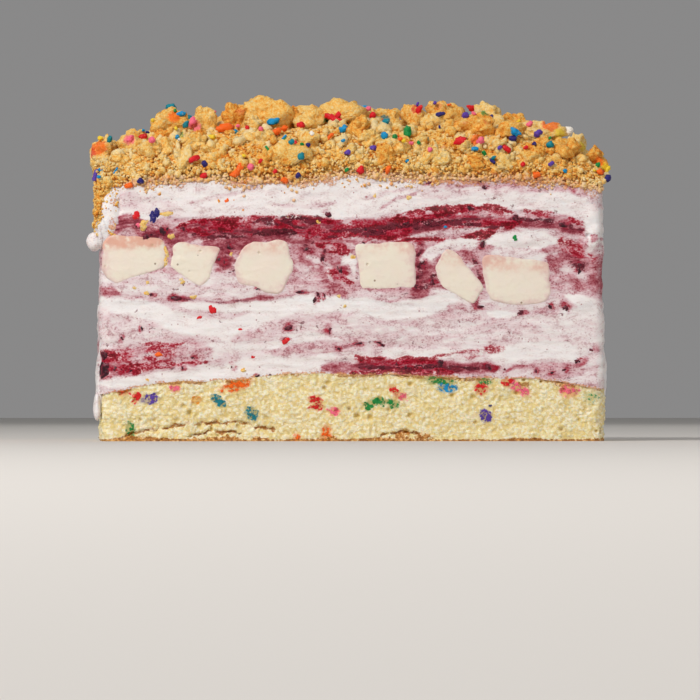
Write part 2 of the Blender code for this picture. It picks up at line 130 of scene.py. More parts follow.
# One scattered point in each lattice cell: the distance to the nearest one, in cells, and its own
# random number.
def cellNoise(points, size, seed):
    scatter = 0.9
    place = points / np.asarray(size, float)
    base = np.floor(place).astype(np.int64)
    nearest = np.full(points.shape[:-1], 9.0)
    own = np.zeros_like(nearest)
    for offset in np.ndindex(3, 3, 3):
        cell = base + np.array(offset) - 1
        jitter = np.stack([cellRandom(cell, seed + axis) for axis in range(3)], axis=-1) - 0.5
        away = np.linalg.norm(place - cell - 0.5 - scatter * jitter, axis=-1)
        own = np.where(away < nearest, cellRandom(cell, seed + 5), own)
        nearest = np.minimum(nearest, away)
    return nearest, own


# Grains over a surface, as tall as crown less fall times the distance from the cell's point, and each
# of a height of its own that is never under least.
def grains(points, size, seed, crown, fall, least):
    near, own = cellNoise(points, size, seed)
    return (crown - near * fall) * (least + own)


# Angles at even steps round a full turn.
def fullTurn(count):
    return np.arange(count) / count * 2 * np.pi


def smoothStep(value, low, high):
    t = np.clip((value - low) / (high - low), 0, 1)
    return t * t * (3 - 2 * t)


# A colour given as it looks on screen, 0 to 255, as the renderer's own amounts of light.
def linear(colour):
    part = np.array(colour) / 255
    return tuple(np.where(part <= 0.04045, part / 12.92, ((part + 0.055) / 1.055) ** 2.4))


# The photo's pixel over a place on the cut face, and the place under a pixel.
def pixelsAt(x, z):
    middleX, footY = cake["originPixel"]
    return x / cake["pixel"] + middleX, footY - z / cake["pixel"]


def placeAt(pixelX, pixelY):
    middleX, footY = cake["originPixel"]
    return (pixelX - middleX) * cake["pixel"], (footY - pixelY) * cake["pixel"]


# A smooth curve through the nine stations, read at every x: Catmull-Rom between neighbours.
def alongWidth(heights, x):
    heights = np.asarray(heights, float)
    place = np.clip((x + halfWidth) / (2 * halfWidth) * 8, 0, 8)
    left = np.minimum(place.astype(int), 7)
    t = place - left
    start, end = heights[left], heights[left + 1]
    slopeIn = (end - heights[np.maximum(left - 1, 0)]) / 2
    slopeOut = (heights[np.minimum(left + 2, 8)] - start) / 2
    a = 2 * start - 2 * end + slopeIn + slopeOut
    b = 3 * end - 3 * start - 2 * slopeIn - slopeOut
    return (((a * t + b) * t + slopeIn) * t + start) * mm


# A layer's upper boundary: the curve of the cut face, plus a small sine wave that changes with depth,
# plus fine noise.
def boundary(heights, x, y):
    into = (y + halfDepth) / (2 * halfDepth)
    phase = 5 * into + 0.07 * heights[0]
    swing = np.sin(cake["waveSwings"] * np.pi * into) * np.sin(x / cake["waveLength"] + phase)
    places = np.stack([x, y, np.full(np.shape(x), heights[0] * mm)], axis=-1)
    crinkle = roughNoise(places, cake["crinkleSize"], 5)
    return alongWidth(heights, x) + cake["waveHeight"] * swing + cake["crinkle"] * crinkle


# The height of the uppermost cream, where the crumble begins.
def creamEdge(x, y):
    return boundary(layers["creamTop"]["top"], x, y)


# The slice's outline, walked anticlockwise from the front left corner: four straight sides, each
# followed by a quarter circle. It returns plan positions and outward normals for every column, at
# each distance inward, as arrays of rows by columns.
def outline(insets, inward, steps):
    inward = np.atleast_1d(np.asarray(inward, float))[:, None]
    left = halfWidth - insets[0] * mm - inward
    right = halfWidth - insets[1] * mm - inward
    deep = halfDepth - inward
    corner = np.minimum(np.maximum(cake["corner"] - inward * 0.5, 0.3 * mm), deep * 0.9)
    front, end, back, arc = steps
    places, normals = [], []
    # each side's end: its signs, how far out it lies, and how far out the side began
    quarters = ((1, -1, right, left), (1, 1, right, right), (-1, 1, left, right), (-1, -1, left, left))
    for side, count in enumerate((front, end, back, end)):
        t = (np.arange(count) / count)[None, :]
        signX, signY, reach, began = quarters[side]
        if side in (0, 2):
            x = signX * ((reach - corner) * t - (began - corner) * (1 - t))
            y = signY * deep * np.ones_like(t)
            normal = (0, signY)
        else:
            x = signX * reach * np.ones_like(t)
            y = signY * (deep - corner) * (2 * t - 1)
            normal = (signX, 0)
        places.append(np.stack([x, y], axis=-1))
        normals.append(np.broadcast_to(np.array(normal, float), places[-1].shape))
        angle = (side - 1 + np.arange(arc) / arc)[None, :] * np.pi / 2
        ray = np.stack([np.cos(angle), np.sin(angle)], axis=-1)
        middle = np.stack([signX * (reach - corner), signY * (deep - corner)], axis=-1)
        places.append(middle + corner[..., None] * ray)
        normals.append(np.broadcast_to(ray, places[-1].shape))
    return np.concatenate(places, axis=1), np.concatenate(normals, axis=1)


# Quads between the rows and columns of a grid whose last column meets its first.
def ringQuads(rows, columns):
    row, column = np.meshgrid(np.arange(rows - 1), np.arange(columns), indexing="ij")
    nextColumn = (column + 1) % columns
    quads = np.stack([row * columns + column, row * columns + nextColumn,
                      (row + 1) * columns + nextColumn, (row + 1) * columns + column], axis=-1)
    return quads.reshape(-1, 4)


# A grid of rings closed by one point at either end: all faces of one such body.
def closedFaces(rows, columns):
    column = np.arange(columns)
    nextColumn = (column + 1) % columns
    low, high, last = rows * columns, rows * columns + 1, (rows - 1) * columns
    fanLow = np.stack([np.full(columns, low), nextColumn, column], axis=-1)
    fanHigh = np.stack([np.full(columns, high), last + column, last + nextColumn], axis=-1)
    return ringQuads(rows, columns), np.concatenate([fanLow, fanHigh])


# Copies of one body as one mesh: their points, copy by copy, and the faces of a single copy. It also
# returns how many points a copy has.
def copiesMesh(points, quads, triangles):
    count, each = points.shape[:2]
    shift = (np.arange(count) * each)[:, None, None]
    return points.reshape(-1, 3), (quads + shift).reshape(-1, 4), (triangles + shift).reshape(-1, 3), each


# A piece of the scene from its points and faces. fields are values or colours that its points carry for
# the material, and sharp is the angle in degrees past which an edge isn't smoothed.
def makePiece(name, points, quads, triangles, material, body="root", replaced=(), fields=None,
              sharp=None):
    mesh = bpy.data.meshes.new(name)
    points = np.asarray(points, np.float32).reshape(-1, 3)
    mesh.vertices.add(len(points))
    mesh.vertices.foreach_set("co", points.ravel())
    corners = np.concatenate([np.ravel(quads), np.ravel(triangles)]).astype(np.int32)
    starts = np.concatenate([np.arange(len(quads)) * 4, len(quads) * 4 + np.arange(len(triangles)) * 3])
    mesh.loops.add(len(corners))
    mesh.loops.foreach_set("vertex_index", corners)
    mesh.polygons.add(len(starts))
    mesh.polygons.foreach_set("loop_start", starts.astype(np.int32))
    mesh.update(calc_edges=True)
    mesh.validate()
    for field, values in (fields or {}).items():
        values = np.asarray(values, np.float32)
        if values.ndim == 1:
            mesh.attributes.new(field, "FLOAT", "POINT").data.foreach_set("value", values)
        else:
            colour = np.concatenate([values, np.ones((len(values), 1), np.float32)], axis=1)
            mesh.attributes.new(field, "FLOAT_COLOR", "POINT").data.foreach_set("color", colour.ravel())
    mesh.shade_smooth()
    if sharp:
        mesh.set_sharp_from_angle(angle=math.radians(sharp))
    piece = bpy.data.objects.new(name, mesh)
    bpy.context.scene.collection.objects.link(piece)
    mesh.materials.append(material)
    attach(piece, body)
    if replaced:
        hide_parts(*replaced)
    print("piece", name, len(quads) * 2 + len(triangles), "triangles")
    return piece


# One output of a material's node. Arithmetic on it adds Math nodes to the material.
class Wire:
    def __init__(self, paint, socket):
        self.paint, self.socket = paint, socket

    def calc(self, operation, *others, clamp=False, swapped=False):
        values = (*others, self) if swapped else (self, *others)
        settings = {"operation": operation, "use_clamp": clamp}
        return self.paint.node("ShaderNodeMath", settings, dict(enumerate(values)))

    def __add__(self, other):
        return self.calc("ADD", other)

    def __sub__(self, other):
        return self.calc("SUBTRACT", other)

    def __rsub__(self, other):
        return self.calc("SUBTRACT", other, swapped=True)

    def __mul__(self, other):
        return self.calc("MULTIPLY", other)

    __radd__ = __add__
    __rmul__ = __mul__

    def clamped(self):
        return self.calc("ADD", 0.0, clamp=True)

    # 0 below low, 1 above high, and smooth between
    def between(self, low, high):
        return self.paint.node("ShaderNodeMapRange", {"interpolation_type": "SMOOTHSTEP"},
                               {"Value": self, "From Min": low, "From Max": high})


# A material. Colours are given as they look on screen, 0 to 255.
class Paint:
    def __init__(self, name, **constants):
        self.material = bpy.data.materials.new(name)
        self.material.use_nodes = True
        self.tree = self.material.node_tree
        self.shader = self.tree.nodes["Principled BSDF"]
        for socket, value in constants.items():
            self.shader.inputs[socket.replace("_", " ")].default_value = value
        self.place = self.node("ShaderNodeTexCoord", output="Object")

    # Any node: its settings first, then the values or links of its sockets.
    def node(self, kind, settings=None, inputs=None, output=0):
        made = self.tree.nodes.new(kind)
        for setting, value in (settings or {}).items():
            if setting == "stops":
                self.setStops(made.color_ramp, value)
            else:
                setattr(made, setting, value)
        for key, value in (inputs or {}).items():
            self.feed(made.inputs[key], value)
        return Wire(self, made.outputs[output])

    def setStops(self, ramp, stops):
        while len(ramp.elements) < len(stops):
            ramp.elements.new(0.5)
        for element, (position, colour) in zip(ramp.elements, stops):
            element.position = position
            element.color = (*linear(colour), 1.0)

    def feed(self, socket, value):
        if isinstance(value, Wire):
            self.tree.links.new(value.socket, socket)
        else:
            socket.default_value = (*linear(value), 1.0) if socket.type == "RGBA" else value

    def field(self, name, output="Fac"):
        return self.node("ShaderNodeAttribute", {"attribute_name": name}, output=output)

    # The place on the piece, stretched by three numbers a metre: bigger numbers, finer pattern.
    def stretched(self, x, y, z):
        return self.node("ShaderNodeVectorMath", {"operation": "MULTIPLY"}, {0: self.place, 1: (x, y, z)})

    # A place pushed along X and along Z.
    def pushed(self, place, x, z):
        push = self.node("ShaderNodeCombineXYZ", None, {"X": x, "Z": z})
        return self.node("ShaderNodeVectorMath", {"operation": "ADD"}, {0: place, 1: push})

    def cloud(self, place, scale=1.0, detail=3.0, roughness=0.55):
        return self.node("ShaderNodeTexNoise", {"noise_dimensions": "3D"},
                         {"Vector": place, "Scale": scale, "Detail": detail, "Roughness": roughness})

    def cells(self, place, scale=1.0, output="Distance"):
        return self.node("ShaderNodeTexVoronoi", {"feature": "F1"}, {"Vector": place, "Scale": scale},
                         output=output)

    # A random number of the cell that the place lies in.
    def cellOwn(self, place):
        return self.node("ShaderNodeSeparateColor", None, {"Color": self.cells(place, output="Color")})

    def ramp(self, value, stops):
        return self.node("ShaderNodeValToRGB", {"stops": stops}, {"Fac": value}, output="Color")

    def mix(self, share, first, second, blend="MIX"):
        return self.node("ShaderNodeMix", {"data_type": "RGBA", "blend_type": blend, "clamp_factor": True},
                         {0: share, 6: first, 7: second}, output=2)

    def relief(self, height, distance, strength):
        bump = self.node("ShaderNodeBump", None, {"Height": height, "Distance": distance,
                                                  "Strength": strength}, output="Normal")
        self.feed(self.shader.inputs["Normal"], bump)

    def finish(self, colour, roughness):
        self.feed(self.shader.inputs["Base Color"], colour)
        self.feed(self.shader.inputs["Roughness"], roughness)
        return self.material


# The camera stands at the height of the slice's foot, a little to its left, with a long lens.
camera = {
    "distance": 1.3,
    "turn": 3.6,
    "height": 9 * mm,
    "aimX": 1.5 * mm,
    "aimZ": 29.7 * mm,
    "sensor": 36.0,
    "frameWidth": 223.2 * mm,
    "farthest": 20,
}


def makeCamera():
    data = bpy.data.cameras.new("camera")
    data.sensor_width = camera["sensor"]
    turn = math.radians(camera["turn"])
    reach = camera["distance"] + halfDepth
    data.lens = camera["sensor"] * camera["distance"] / camera["frameWidth"]
    data.clip_end = camera["farthest"]
    eye = Vector((-math.sin(turn) * reach, -math.cos(turn) * reach, camera["height"]))
    target = Vector((camera["aimX"], 0, camera["aimZ"]))
    made = bpy.data.objects.new("camera", data)
    made.location = eye
    made.rotation_euler = (target - eye).to_track_quat("-Z", "Y").to_euler()
    bpy.context.scene.collection.objects.link(made)
    bpy.context.scene.camera = made


studio = {
    "key": {"place": (-0.75, -1.05, 1.0), "size": 0.42, "power": 18.0, "colour": (1.0, 0.965, 0.94)},
    "fill": {"place": (1.2, -1.3, 0.6), "size": 1.6, "power": 5.2, "colour": (1.0, 0.965, 0.96)},
    "back": {"place": (0.3, 1.2, 1.3), "size": 1.2, "power": 4.0, "colour": (1.0, 0.98, 0.95)},
    "aim": (0, 0, 0.05),
    "room": 0.28,
    "roomColour": (0.90, 0.89, 0.89, 1),
    "floor": (216, 213, 208),
    "floorReach": 6.0,
    "floorRoughness": 0.85,
}


def makeStudio():
    for name in ("key", "fill", "back"):
        lamp = studio[name]
        data = bpy.data.lights.new(name, "AREA")
        data.size = lamp["size"]
        data.energy = lamp["power"]
        data.color = lamp["colour"]
        made = bpy.data.objects.new(name, data)
        made.location = lamp["place"]
        aim = Vector(studio["aim"]) - Vector(lamp["place"])
        made.rotation_euler = aim.to_track_quat("-Z", "Y").to_euler()
        bpy.context.scene.collection.objects.link(made)
    world = bpy.data.worlds.new("room")
    world.use_nodes = True
    glow = world.node_tree.nodes["Background"].inputs
    glow["Color"].default_value = studio["roomColour"]
    glow["Strength"].default_value = studio["room"]
    bpy.context.scene.world = world
    bpy.context.scene.view_settings.view_transform = "Standard"
    mesh = bpy.data.meshes.new("floor")
    reach = studio["floorReach"]
    corners = [(-reach, -reach, 0), (reach, -reach, 0), (reach, reach, 0), (-reach, reach, 0)]
    mesh.from_pydata(corners, [], [(0, 1, 2, 3)])
    floor = bpy.data.objects.new("floor", mesh)
    bpy.context.scene.collection.objects.link(floor)
    mesh.materials.append(Paint("floor").finish(studio["floor"], studio["floorRoughness"]))
    floor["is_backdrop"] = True


# The marbling is painted in strokes, in the photo's own pixels: what is laid down, how much of it, the
# stroke's half width and the softness of its edge, and the points it runs through. Later strokes lie
# over earlier ones. berry goes from white cream (0) over lavender and mauve to dark purple (1), juice
# is clear crimson syrup, and pulp is skins and seeds.
strokes = (
    # top cream: faint slanting streaks, and a mottled stretch under the crumble on the right
    ("berry", 0.25, 5, 9, ((425, 190), (470, 186), (505, 190))),
    ("berry", 0.40, 3.5, 5, ((440, 183), (470, 180), (505, 181), (522, 186), (562, 183), (590, 190))),
    ("pulp", 0.40, 1.5, 4, ((452, 183), (476, 178), (490, 186), (520, 184), (560, 182))),
    ("berry", 0.26, 5, 7, ((112, 196), (136, 201), (166, 206))),
    ("berry", 0.30, 1.2, 2.5, ((193, 203), (230, 194), (262, 187))),
    ("berry", 0.24, 1, 2.5, ((352, 199), (414, 185), (436, 180))),
    ("berry", 0.36, 1, 2, ((378, 208), (392, 198), (416, 191))),
    ("berry", 0.22, 2, 4, ((120, 199), (160, 203), (176, 205))),
    ("berry", 0.26, 1.5, 3, ((276, 204), (310, 207), (335, 202))),
    ("berry", 0.24, 3, 6, ((586, 192), (596, 212))),
    # the ribbon: a mauve end on the left, then crimson and dark purple
    ("berry", 0.46, 9, 6, ((150, 229), (185, 228))),
    ("berry", 0.78, 5, 4, ((112, 237), (118, 223), (130, 218), (142, 226), (156, 236), (188, 238))),
    ("berry", 0.34, 3, 3, ((146, 222), (172, 222))),
    ("berry", 0.90, 8, 4, ((186, 228), (240, 229), (300, 230), (345, 230))),
    ("berry", 0.52, 4, 3, ((238, 221), (262, 222), (286, 221))),
    ("berry", 0.86, 7, 4, ((345, 230), (398, 226), (450, 220))),
    ("berry", 0.74, 4.5, 3, ((450, 220), (500, 221), (540, 219), (577, 228))),
    ("berry", 0.44, 3, 3, ((514, 212), (548, 215), (574, 222))),
    ("berry", 0.30, 1.5, 3, ((500, 229), (545, 231), (572, 237))),
    ("berry", 0.38, 3, 4, ((398, 237), (445, 236), (500, 227))),
    ("juice", 1.00, 6.5, 4, ((182, 226), (198, 227), (216, 224), (236, 219))),
    ("juice", 0.80, 3, 3, ((228, 230), (262, 230), (300, 230))),
    ("juice", 0.45, 5, 5, ((236, 222), (262, 222), (290, 222))),
    ("juice", 0.62, 7, 5, ((278, 221), (320, 228), (350, 230), (385, 229), (410, 224))),
    ("juice", 0.98, 4.5, 4, ((396, 222), (412, 217), (430, 212), (456, 209))),
    ("juice", 0.55, 2.5, 4, ((446, 209), (486, 206), (512, 209))),
    ("juice", 0.38, 5, 4, ((440, 222), (480, 220), (510, 216))),
    ("juice", 0.85, 2.4, 3.5, ((384, 238), (417, 239), (441, 240), (465, 237), (491, 230), (515, 221))),
    ("juice", 0.50, 1.5, 3, ((524, 209), (552, 215), (582, 223))),
    ("pulp", 0.80, 2.4, 2.5, ((188, 235), (225, 235), (240, 234), (262, 231), (298, 231))),
    ("pulp", 0.60, 2.6, 3, ((252, 222), (266, 220), (276, 224))),
    ("pulp", 0.70, 4, 4, ((282, 218), (300, 222), (318, 220))),
    ("pulp", 0.62, 3.2, 3.5, ((318, 233), (345, 232), (385, 228), (412, 225))),
    ("pulp", 0.92, 2.8, 2.6, ((396, 227), (428, 222), (455, 220), (502, 222))),
    ("pulp", 0.66, 1.4, 2, ((508, 217), (543, 219), (560, 223), (578, 228))),
    ("berry", 0.28, 1.0, 2.5, ((408, 234), (441, 231), (470, 228), (502, 224))),
    ("pulp", 0.55, 1.6, 2, ((104, 236), (120, 226), (136, 224), (152, 236), (168, 243))),
    # middle layer: pink at the lower left, mauve round the chunks, white patch and lobes on the right
    ("berry", 0.20, 10, 7, ((96, 280), (150, 281), (200, 280), (258, 287))),
    ("berry", 0.26, 4, 5, ((350, 294), (400, 297), (440, 294), (480, 300))),
    ("berry", 0.22, 4, 5, ((484, 300), (520, 302), (556, 299))),
    ("berry", 0.36, 2, 4, ((140, 269), (170, 266), (200, 275))),
    ("berry", 0.62, 4, 4, ((110, 289), (122, 294))),
    ("berry", 0.55, 6, 5, ((148, 243), (168, 247))),
    ("berry", 0.74, 7, 5, ((208, 240), (234, 243), (254, 240))),
    ("berry", 0.72, 6, 5, ((228, 243), (226, 258), (218, 268))),
    ("berry", 0.28, 3, 5, ((212, 278), (232, 270), (244, 262))),
    ("berry", 0.58, 9, 7, ((292, 236), (312, 254), (330, 268), (340, 290))),
    ("berry", 0.34, 4, 6, ((270, 292), (300, 284), (306, 272))),
    ("berry", 0.70, 3, 4, ((294, 240), (318, 237), (350, 242))),
    ("berry", 0.24, 1.5, 4, ((304, 254), (322, 262), (330, 276))),
    ("berry", 0.08, 2.5, 3, ((338, 262), (349, 256), (352, 270))),
    ("juice", 0.62, 3.5, 4, ((318, 243), (334, 248), (348, 252))),
    ("juice", 0.50, 3.5, 5, ((326, 270), (338, 270), (348, 280))),
    ("pulp", 0.55, 2, 3, ((302, 244), (312, 249))),
    ("pulp", 0.60, 1.5, 2.5, ((321, 248), (322, 260))),
    ("pulp", 0.60, 2, 3, ((334, 266), (342, 272))),
    ("berry", 0.78, 4, 4, ((418, 240), (420, 262), (418, 288))),
    ("berry", 0.70, 4, 5, ((440, 258), (430, 274), (420, 288), (406, 300))),
    ("berry", 0.14, 4, 3.5, ((420, 258), (436, 248), (455, 242), (482, 242))),
    ("berry", 0.60, 2, 3, ((462, 246), (474, 262), (480, 276), (474, 298))),
    ("berry", 0.16, 3, 4, ((436, 290), (452, 292), (470, 300))),
    ("berry", 0.62, 1.5, 3, ((436, 284), (452, 286), (466, 296), (480, 304))),
    ("pulp", 0.60, 1.5, 3, ((419, 246), (420, 262), (416, 280))),
    ("pulp", 0.70, 2, 3, ((436, 264), (430, 278), (414, 293))),
    ("pulp", 0.50, 1.2, 2.5, ((464, 248), (476, 268), (480, 282))),
    ("berry", 0.03, 7, 2.5, ((489, 240), (520, 237), (552, 240))),
    ("berry", 0.17, 4, 3, ((494, 251), (520, 252), (545, 253))),
    ("berry", 0.54, 14, 7, ((552, 264), (580, 268), (612, 276))),
    ("berry", 0.66, 3, 6, ((566, 252), (584, 262), (600, 282))),
    ("berry", 0.30, 2, 4, ((556, 272), (570, 266), (584, 278))),
    ("berry", 0.40, 3, 5, ((552, 278), (566, 284), (574, 296))),
    ("juice", 0.40, 3, 6, ((555, 238), (572, 245), (592, 256))),
    ("pulp", 0.55, 4, 5, ((568, 256), (580, 264), (586, 272))),
    ("berry", 0.30, 6, 3, ((556, 236), (566, 243))),
    ("berry", 0.12, 8, 2.5, ((571, 294), (584, 301), (590, 316))),
    ("berry", 0.05, 8, 5, ((590, 212), (592, 244))),
    ("berry", 0.55, 3.5, 2, ((586, 234), (592, 238))),
    ("berry", 0.50, 0.8, 2, ((354, 297), (385, 300), (412, 296))),
    ("pulp", 0.42, 0.6, 1.6, ((356, 298), (385, 301), (414, 296))),
    ("pulp", 0.36, 0.5, 1.6, ((362, 292), (390, 295), (415, 291))),
    ("pulp", 0.40, 0.5, 1.6, ((208, 276), (228, 271), (240, 264))),
    ("pulp", 0.34, 0.5, 1.5, ((120, 199), (140, 201), (170, 197))),
    ("berry", 0.72, 1.5, 2.2, ((168, 296), (215, 301), (240, 300), (272, 296))),
    ("pulp", 0.55, 1, 1.5, ((172, 296), (215, 301), (250, 299))),
    # lower layer: white swirls in lavender, a berry patch at the left and a crimson ribbon
    ("berry", 0.03, 6, 5, ((110, 300), (156, 311), (193, 324), (229, 327), (271, 312), (298, 300),
                           (349, 303))),
    ("berry", 0.05, 3, 4, ((180, 303), (230, 306), (280, 304))),
    ("berry", 0.26, 8, 8, ((112, 322), (150, 330), (172, 336))),
    ("berry", 0.30, 5, 6, ((232, 341), (290, 322), (345, 316))),
    ("berry", 0.12, 2, 4, ((200, 345), (260, 344), (320, 334))),
    ("berry", 0.42, 10, 7, ((108, 360), (140, 356), (176, 352), (204, 349))),
    ("juice", 0.42, 8, 9, ((108, 360), (140, 356), (172, 350))),
    ("juice", 0.60, 3, 5, ((112, 350), (124, 358), (136, 368))),
    ("juice", 0.55, 1.2, 3, ((144, 342), (168, 343), (184, 342))),
    ("juice", 0.50, 1.0, 3, ((140, 366), (176, 362), (206, 358))),
    ("berry", 0.04, 3.5, 3, ((104, 381), (150, 376), (200, 371), (222, 367))),
    ("berry", 0.03, 6, 6, ((196, 376), (240, 367), (300, 361), (325, 352))),
    ("berry", 0.34, 4, 4, ((272, 349), (310, 346), (345, 343))),
    ("berry", 0.66, 4, 4, ((322, 365), (350, 363))),
    ("berry", 0.02, 6, 4, ((350, 300), (385, 309), (415, 306), (448, 297))),
    ("berry", 0.02, 2.5, 2.5, ((485, 311), (512, 312))),
    ("berry", 0.08, 3, 5, ((380, 350), (420, 352), (452, 350))),
    ("berry", 0.02, 6, 4, ((492, 354), (530, 347), (560, 348), (574, 356))),
    ("berry", 0.80, 3.2, 4, ((349, 363), (400, 361), (441, 363), (486, 366))),
    ("juice", 0.90, 3, 4, ((349, 368), (385, 369), (430, 368), (450, 369))),
    ("juice", 0.62, 2.5, 4, ((351, 352), (366, 358), (400, 357), (428, 357), (441, 352))),
    ("juice", 0.35, 3, 5, ((446, 352), (500, 345))),
    ("pulp", 0.85, 1.2, 1.6, ((355, 364), (400, 365), (441, 363), (486, 366))),
    ("berry", 0.36, 5, 5, ((498, 369), (540, 367), (576, 368))),
    ("berry", 0.50, 1, 2, ((505, 363), (540, 361), (575, 362))),
    ("berry", 0.06, 5, 5, ((598, 312), (600, 350), (600, 384))),
)

# How the strokes are mixed: the berry that each layer has by itself, and how the strokes are pushed
# about, tapered at their ends and broken into patches.
marble = {
    "levels": {"creamTop": 0.12, "berryRibbon": 0.34, "creamMiddle": 0.40, "creamLower": 0.25},
    # noise size along and up, and the push across and down in pixels
    "warps": ((15 * mm, 6 * mm, 5.0, 1.8), (4.5 * mm, 1.8 * mm, 3.0, 1.2), (1.5 * mm, 0.8 * mm, 1.2, 0.7)),
    # away from the cut face that the photo shows, a further push across and down, and its noise sizes
    "awayWarps": (26.0, 5.0),
    "awaySizes": (24 * mm, 19 * mm),
    "taper": 12.0,
    "patchSizes": {"berry": (9 * mm, 1.5 * mm), "juice": (4 * mm, 1.2 * mm), "pulp": (3 * mm, 1.0 * mm)},
    "patchBase": {"berry": 0.92, "juice": 0.88, "pulp": 0.70},
    "patchSwing": {"berry": 0.35, "juice": 1.1, "pulp": 1.4},
}


# How much of a stroke covers each pixel place: 1 within its half width of the nearest leg of its path,
# fading to 0 over its softness. The width tapers towards both ends.
def strokeCover(x, y, half, soft, path):
    nearest = np.full(x.shape, 1e9)
    along = np.zeros(x.shape)
    walked = 0.0
    path = np.array(path, float)
    for start, end in zip(path[:-1], path[1:]):
        leg = end - start
        length = np.hypot(*leg)
        t = np.clip(((x - start[0]) * leg[0] + (y - start[1]) * leg[1]) / (leg @ leg), 0, 1)
        away = np.hypot(x - start[0] - t * leg[0], y - start[1] - t * leg[1])
        along = np.where(away < nearest, walked + t * length, along)
        nearest = np.minimum(nearest, away)
        walked += length
    taper = smoothStep(np.minimum(along, walked - along), 0, min(marble["taper"], walked / 3))
    width = half * (0.3 + 0.7 * taper)
    return 1 - smoothStep(nearest, width, width + soft)


# The photo's pixel that a place on the slice belongs to. The end walls fold the pattern back from
# the corners, so that it runs on round them, and everything away from the front is pushed about.
def pixelOf(points):
    x, y, z = points[..., 0], points[..., 1], points[..., 2]
    away = smoothStep(y, -halfDepth + 1.5 * mm, -halfDepth + 9 * mm)
    atEnd = smoothStep(np.abs(x), halfWidth - 6 * mm, halfWidth - 3 * mm)
    folded = x - np.sign(x) * atEnd * (halfDepth - np.abs(y)) * 0.8
    across, down = pixelsAt(folded, z)
    for index, (wide, tall, pushX, pushZ) in enumerate(marble["warps"]):
        across = across + pushX * softNoise(points, (wide, wide, tall), 11 + index)
        down = down + pushZ * softNoise(points, (wide, wide, tall), 16 + index)
    across = across + away * marble["awayWarps"][0] * softNoise(points, marble["awaySizes"][0], 14)
    down = down + away * marble["awayWarps"][1] * softNoise(points, marble["awaySizes"][1], 15)
    return across, down


# What the marbling's material reads at each point: berry, juice and pulp as the strokes lay them, and
# dust, which is crumbs pressed into the cream.
def marbleFields(points):
    across, down = pixelOf(points)
    x, y, z = points[..., 0], points[..., 1], points[..., 2]
    berry = np.full(x.shape, marble["levels"]["creamLower"])
    under = boundary(layers["creamLower"]["top"], x, y)
    for name in ("creamMiddle", "berryRibbon", "creamTop"):
        berry += (marble["levels"][name] - berry) * smoothStep(z - under, -1.2 * mm, 1.2 * mm)
        under = boundary(layers[name]["top"], x, y)
    berry += 0.07 * roughNoise(points, (14 * mm, 14 * mm, 3 * mm), 21)
    found = {"berry": berry, "juice": np.zeros_like(berry), "pulp": np.zeros_like(berry)}
    patch = {}
    for index, (field, (wide, tall)) in enumerate(marble["patchSizes"].items()):
        swing = marble["patchSwing"][field] * roughNoise(points, (wide, wide, tall), 23 + 4 * index)
        patch[field] = np.clip(marble["patchBase"][field] + swing, 0, 1)
    for field, amount, half, soft, path in strokes:
        cover = strokeCover(across, down, half, soft, path) * patch[field]
        found[field] = found[field] + (amount - found[field]) * cover
        if field == "berry" and amount < 0.2:
            found["juice"] = found["juice"] * (1 - cover)
            found["pulp"] = found["pulp"] * (1 - cover)
    # each bit of berry stains the cream round it
    front = 1 - smoothStep(y, -halfDepth + 2 * mm, -halfDepth + 5 * mm)
    for spotX, spotY, wide, tall, _ in bits["berries"]:
        near = np.hypot((across - spotX) / wide, (down - spotY) / tall)
        halo = front * (1 - smoothStep(near, 0.8, 2.4))
        found["berry"] = found["berry"] + 0.26 * halo
        found["juice"] = np.maximum(found["juice"], 0.30 * halo)
    # crumbs pressed into the cream under the crumble, and crust above the sponge
    topGap = creamEdge(x, y) - z
    spongeGap = z - boundary(layers["sponge"]["top"], x, y)
    hang = (3.4 + 2.6 * roughNoise(points, 7 * mm, 37)) * mm
    pressed = 1 - topGap / np.maximum(hang, 0.8 * mm)
    found["dust"] = np.clip(np.maximum(pressed, 0.85 * (1 - spongeGap / (1.4 * mm))), 0, 1)
    return found


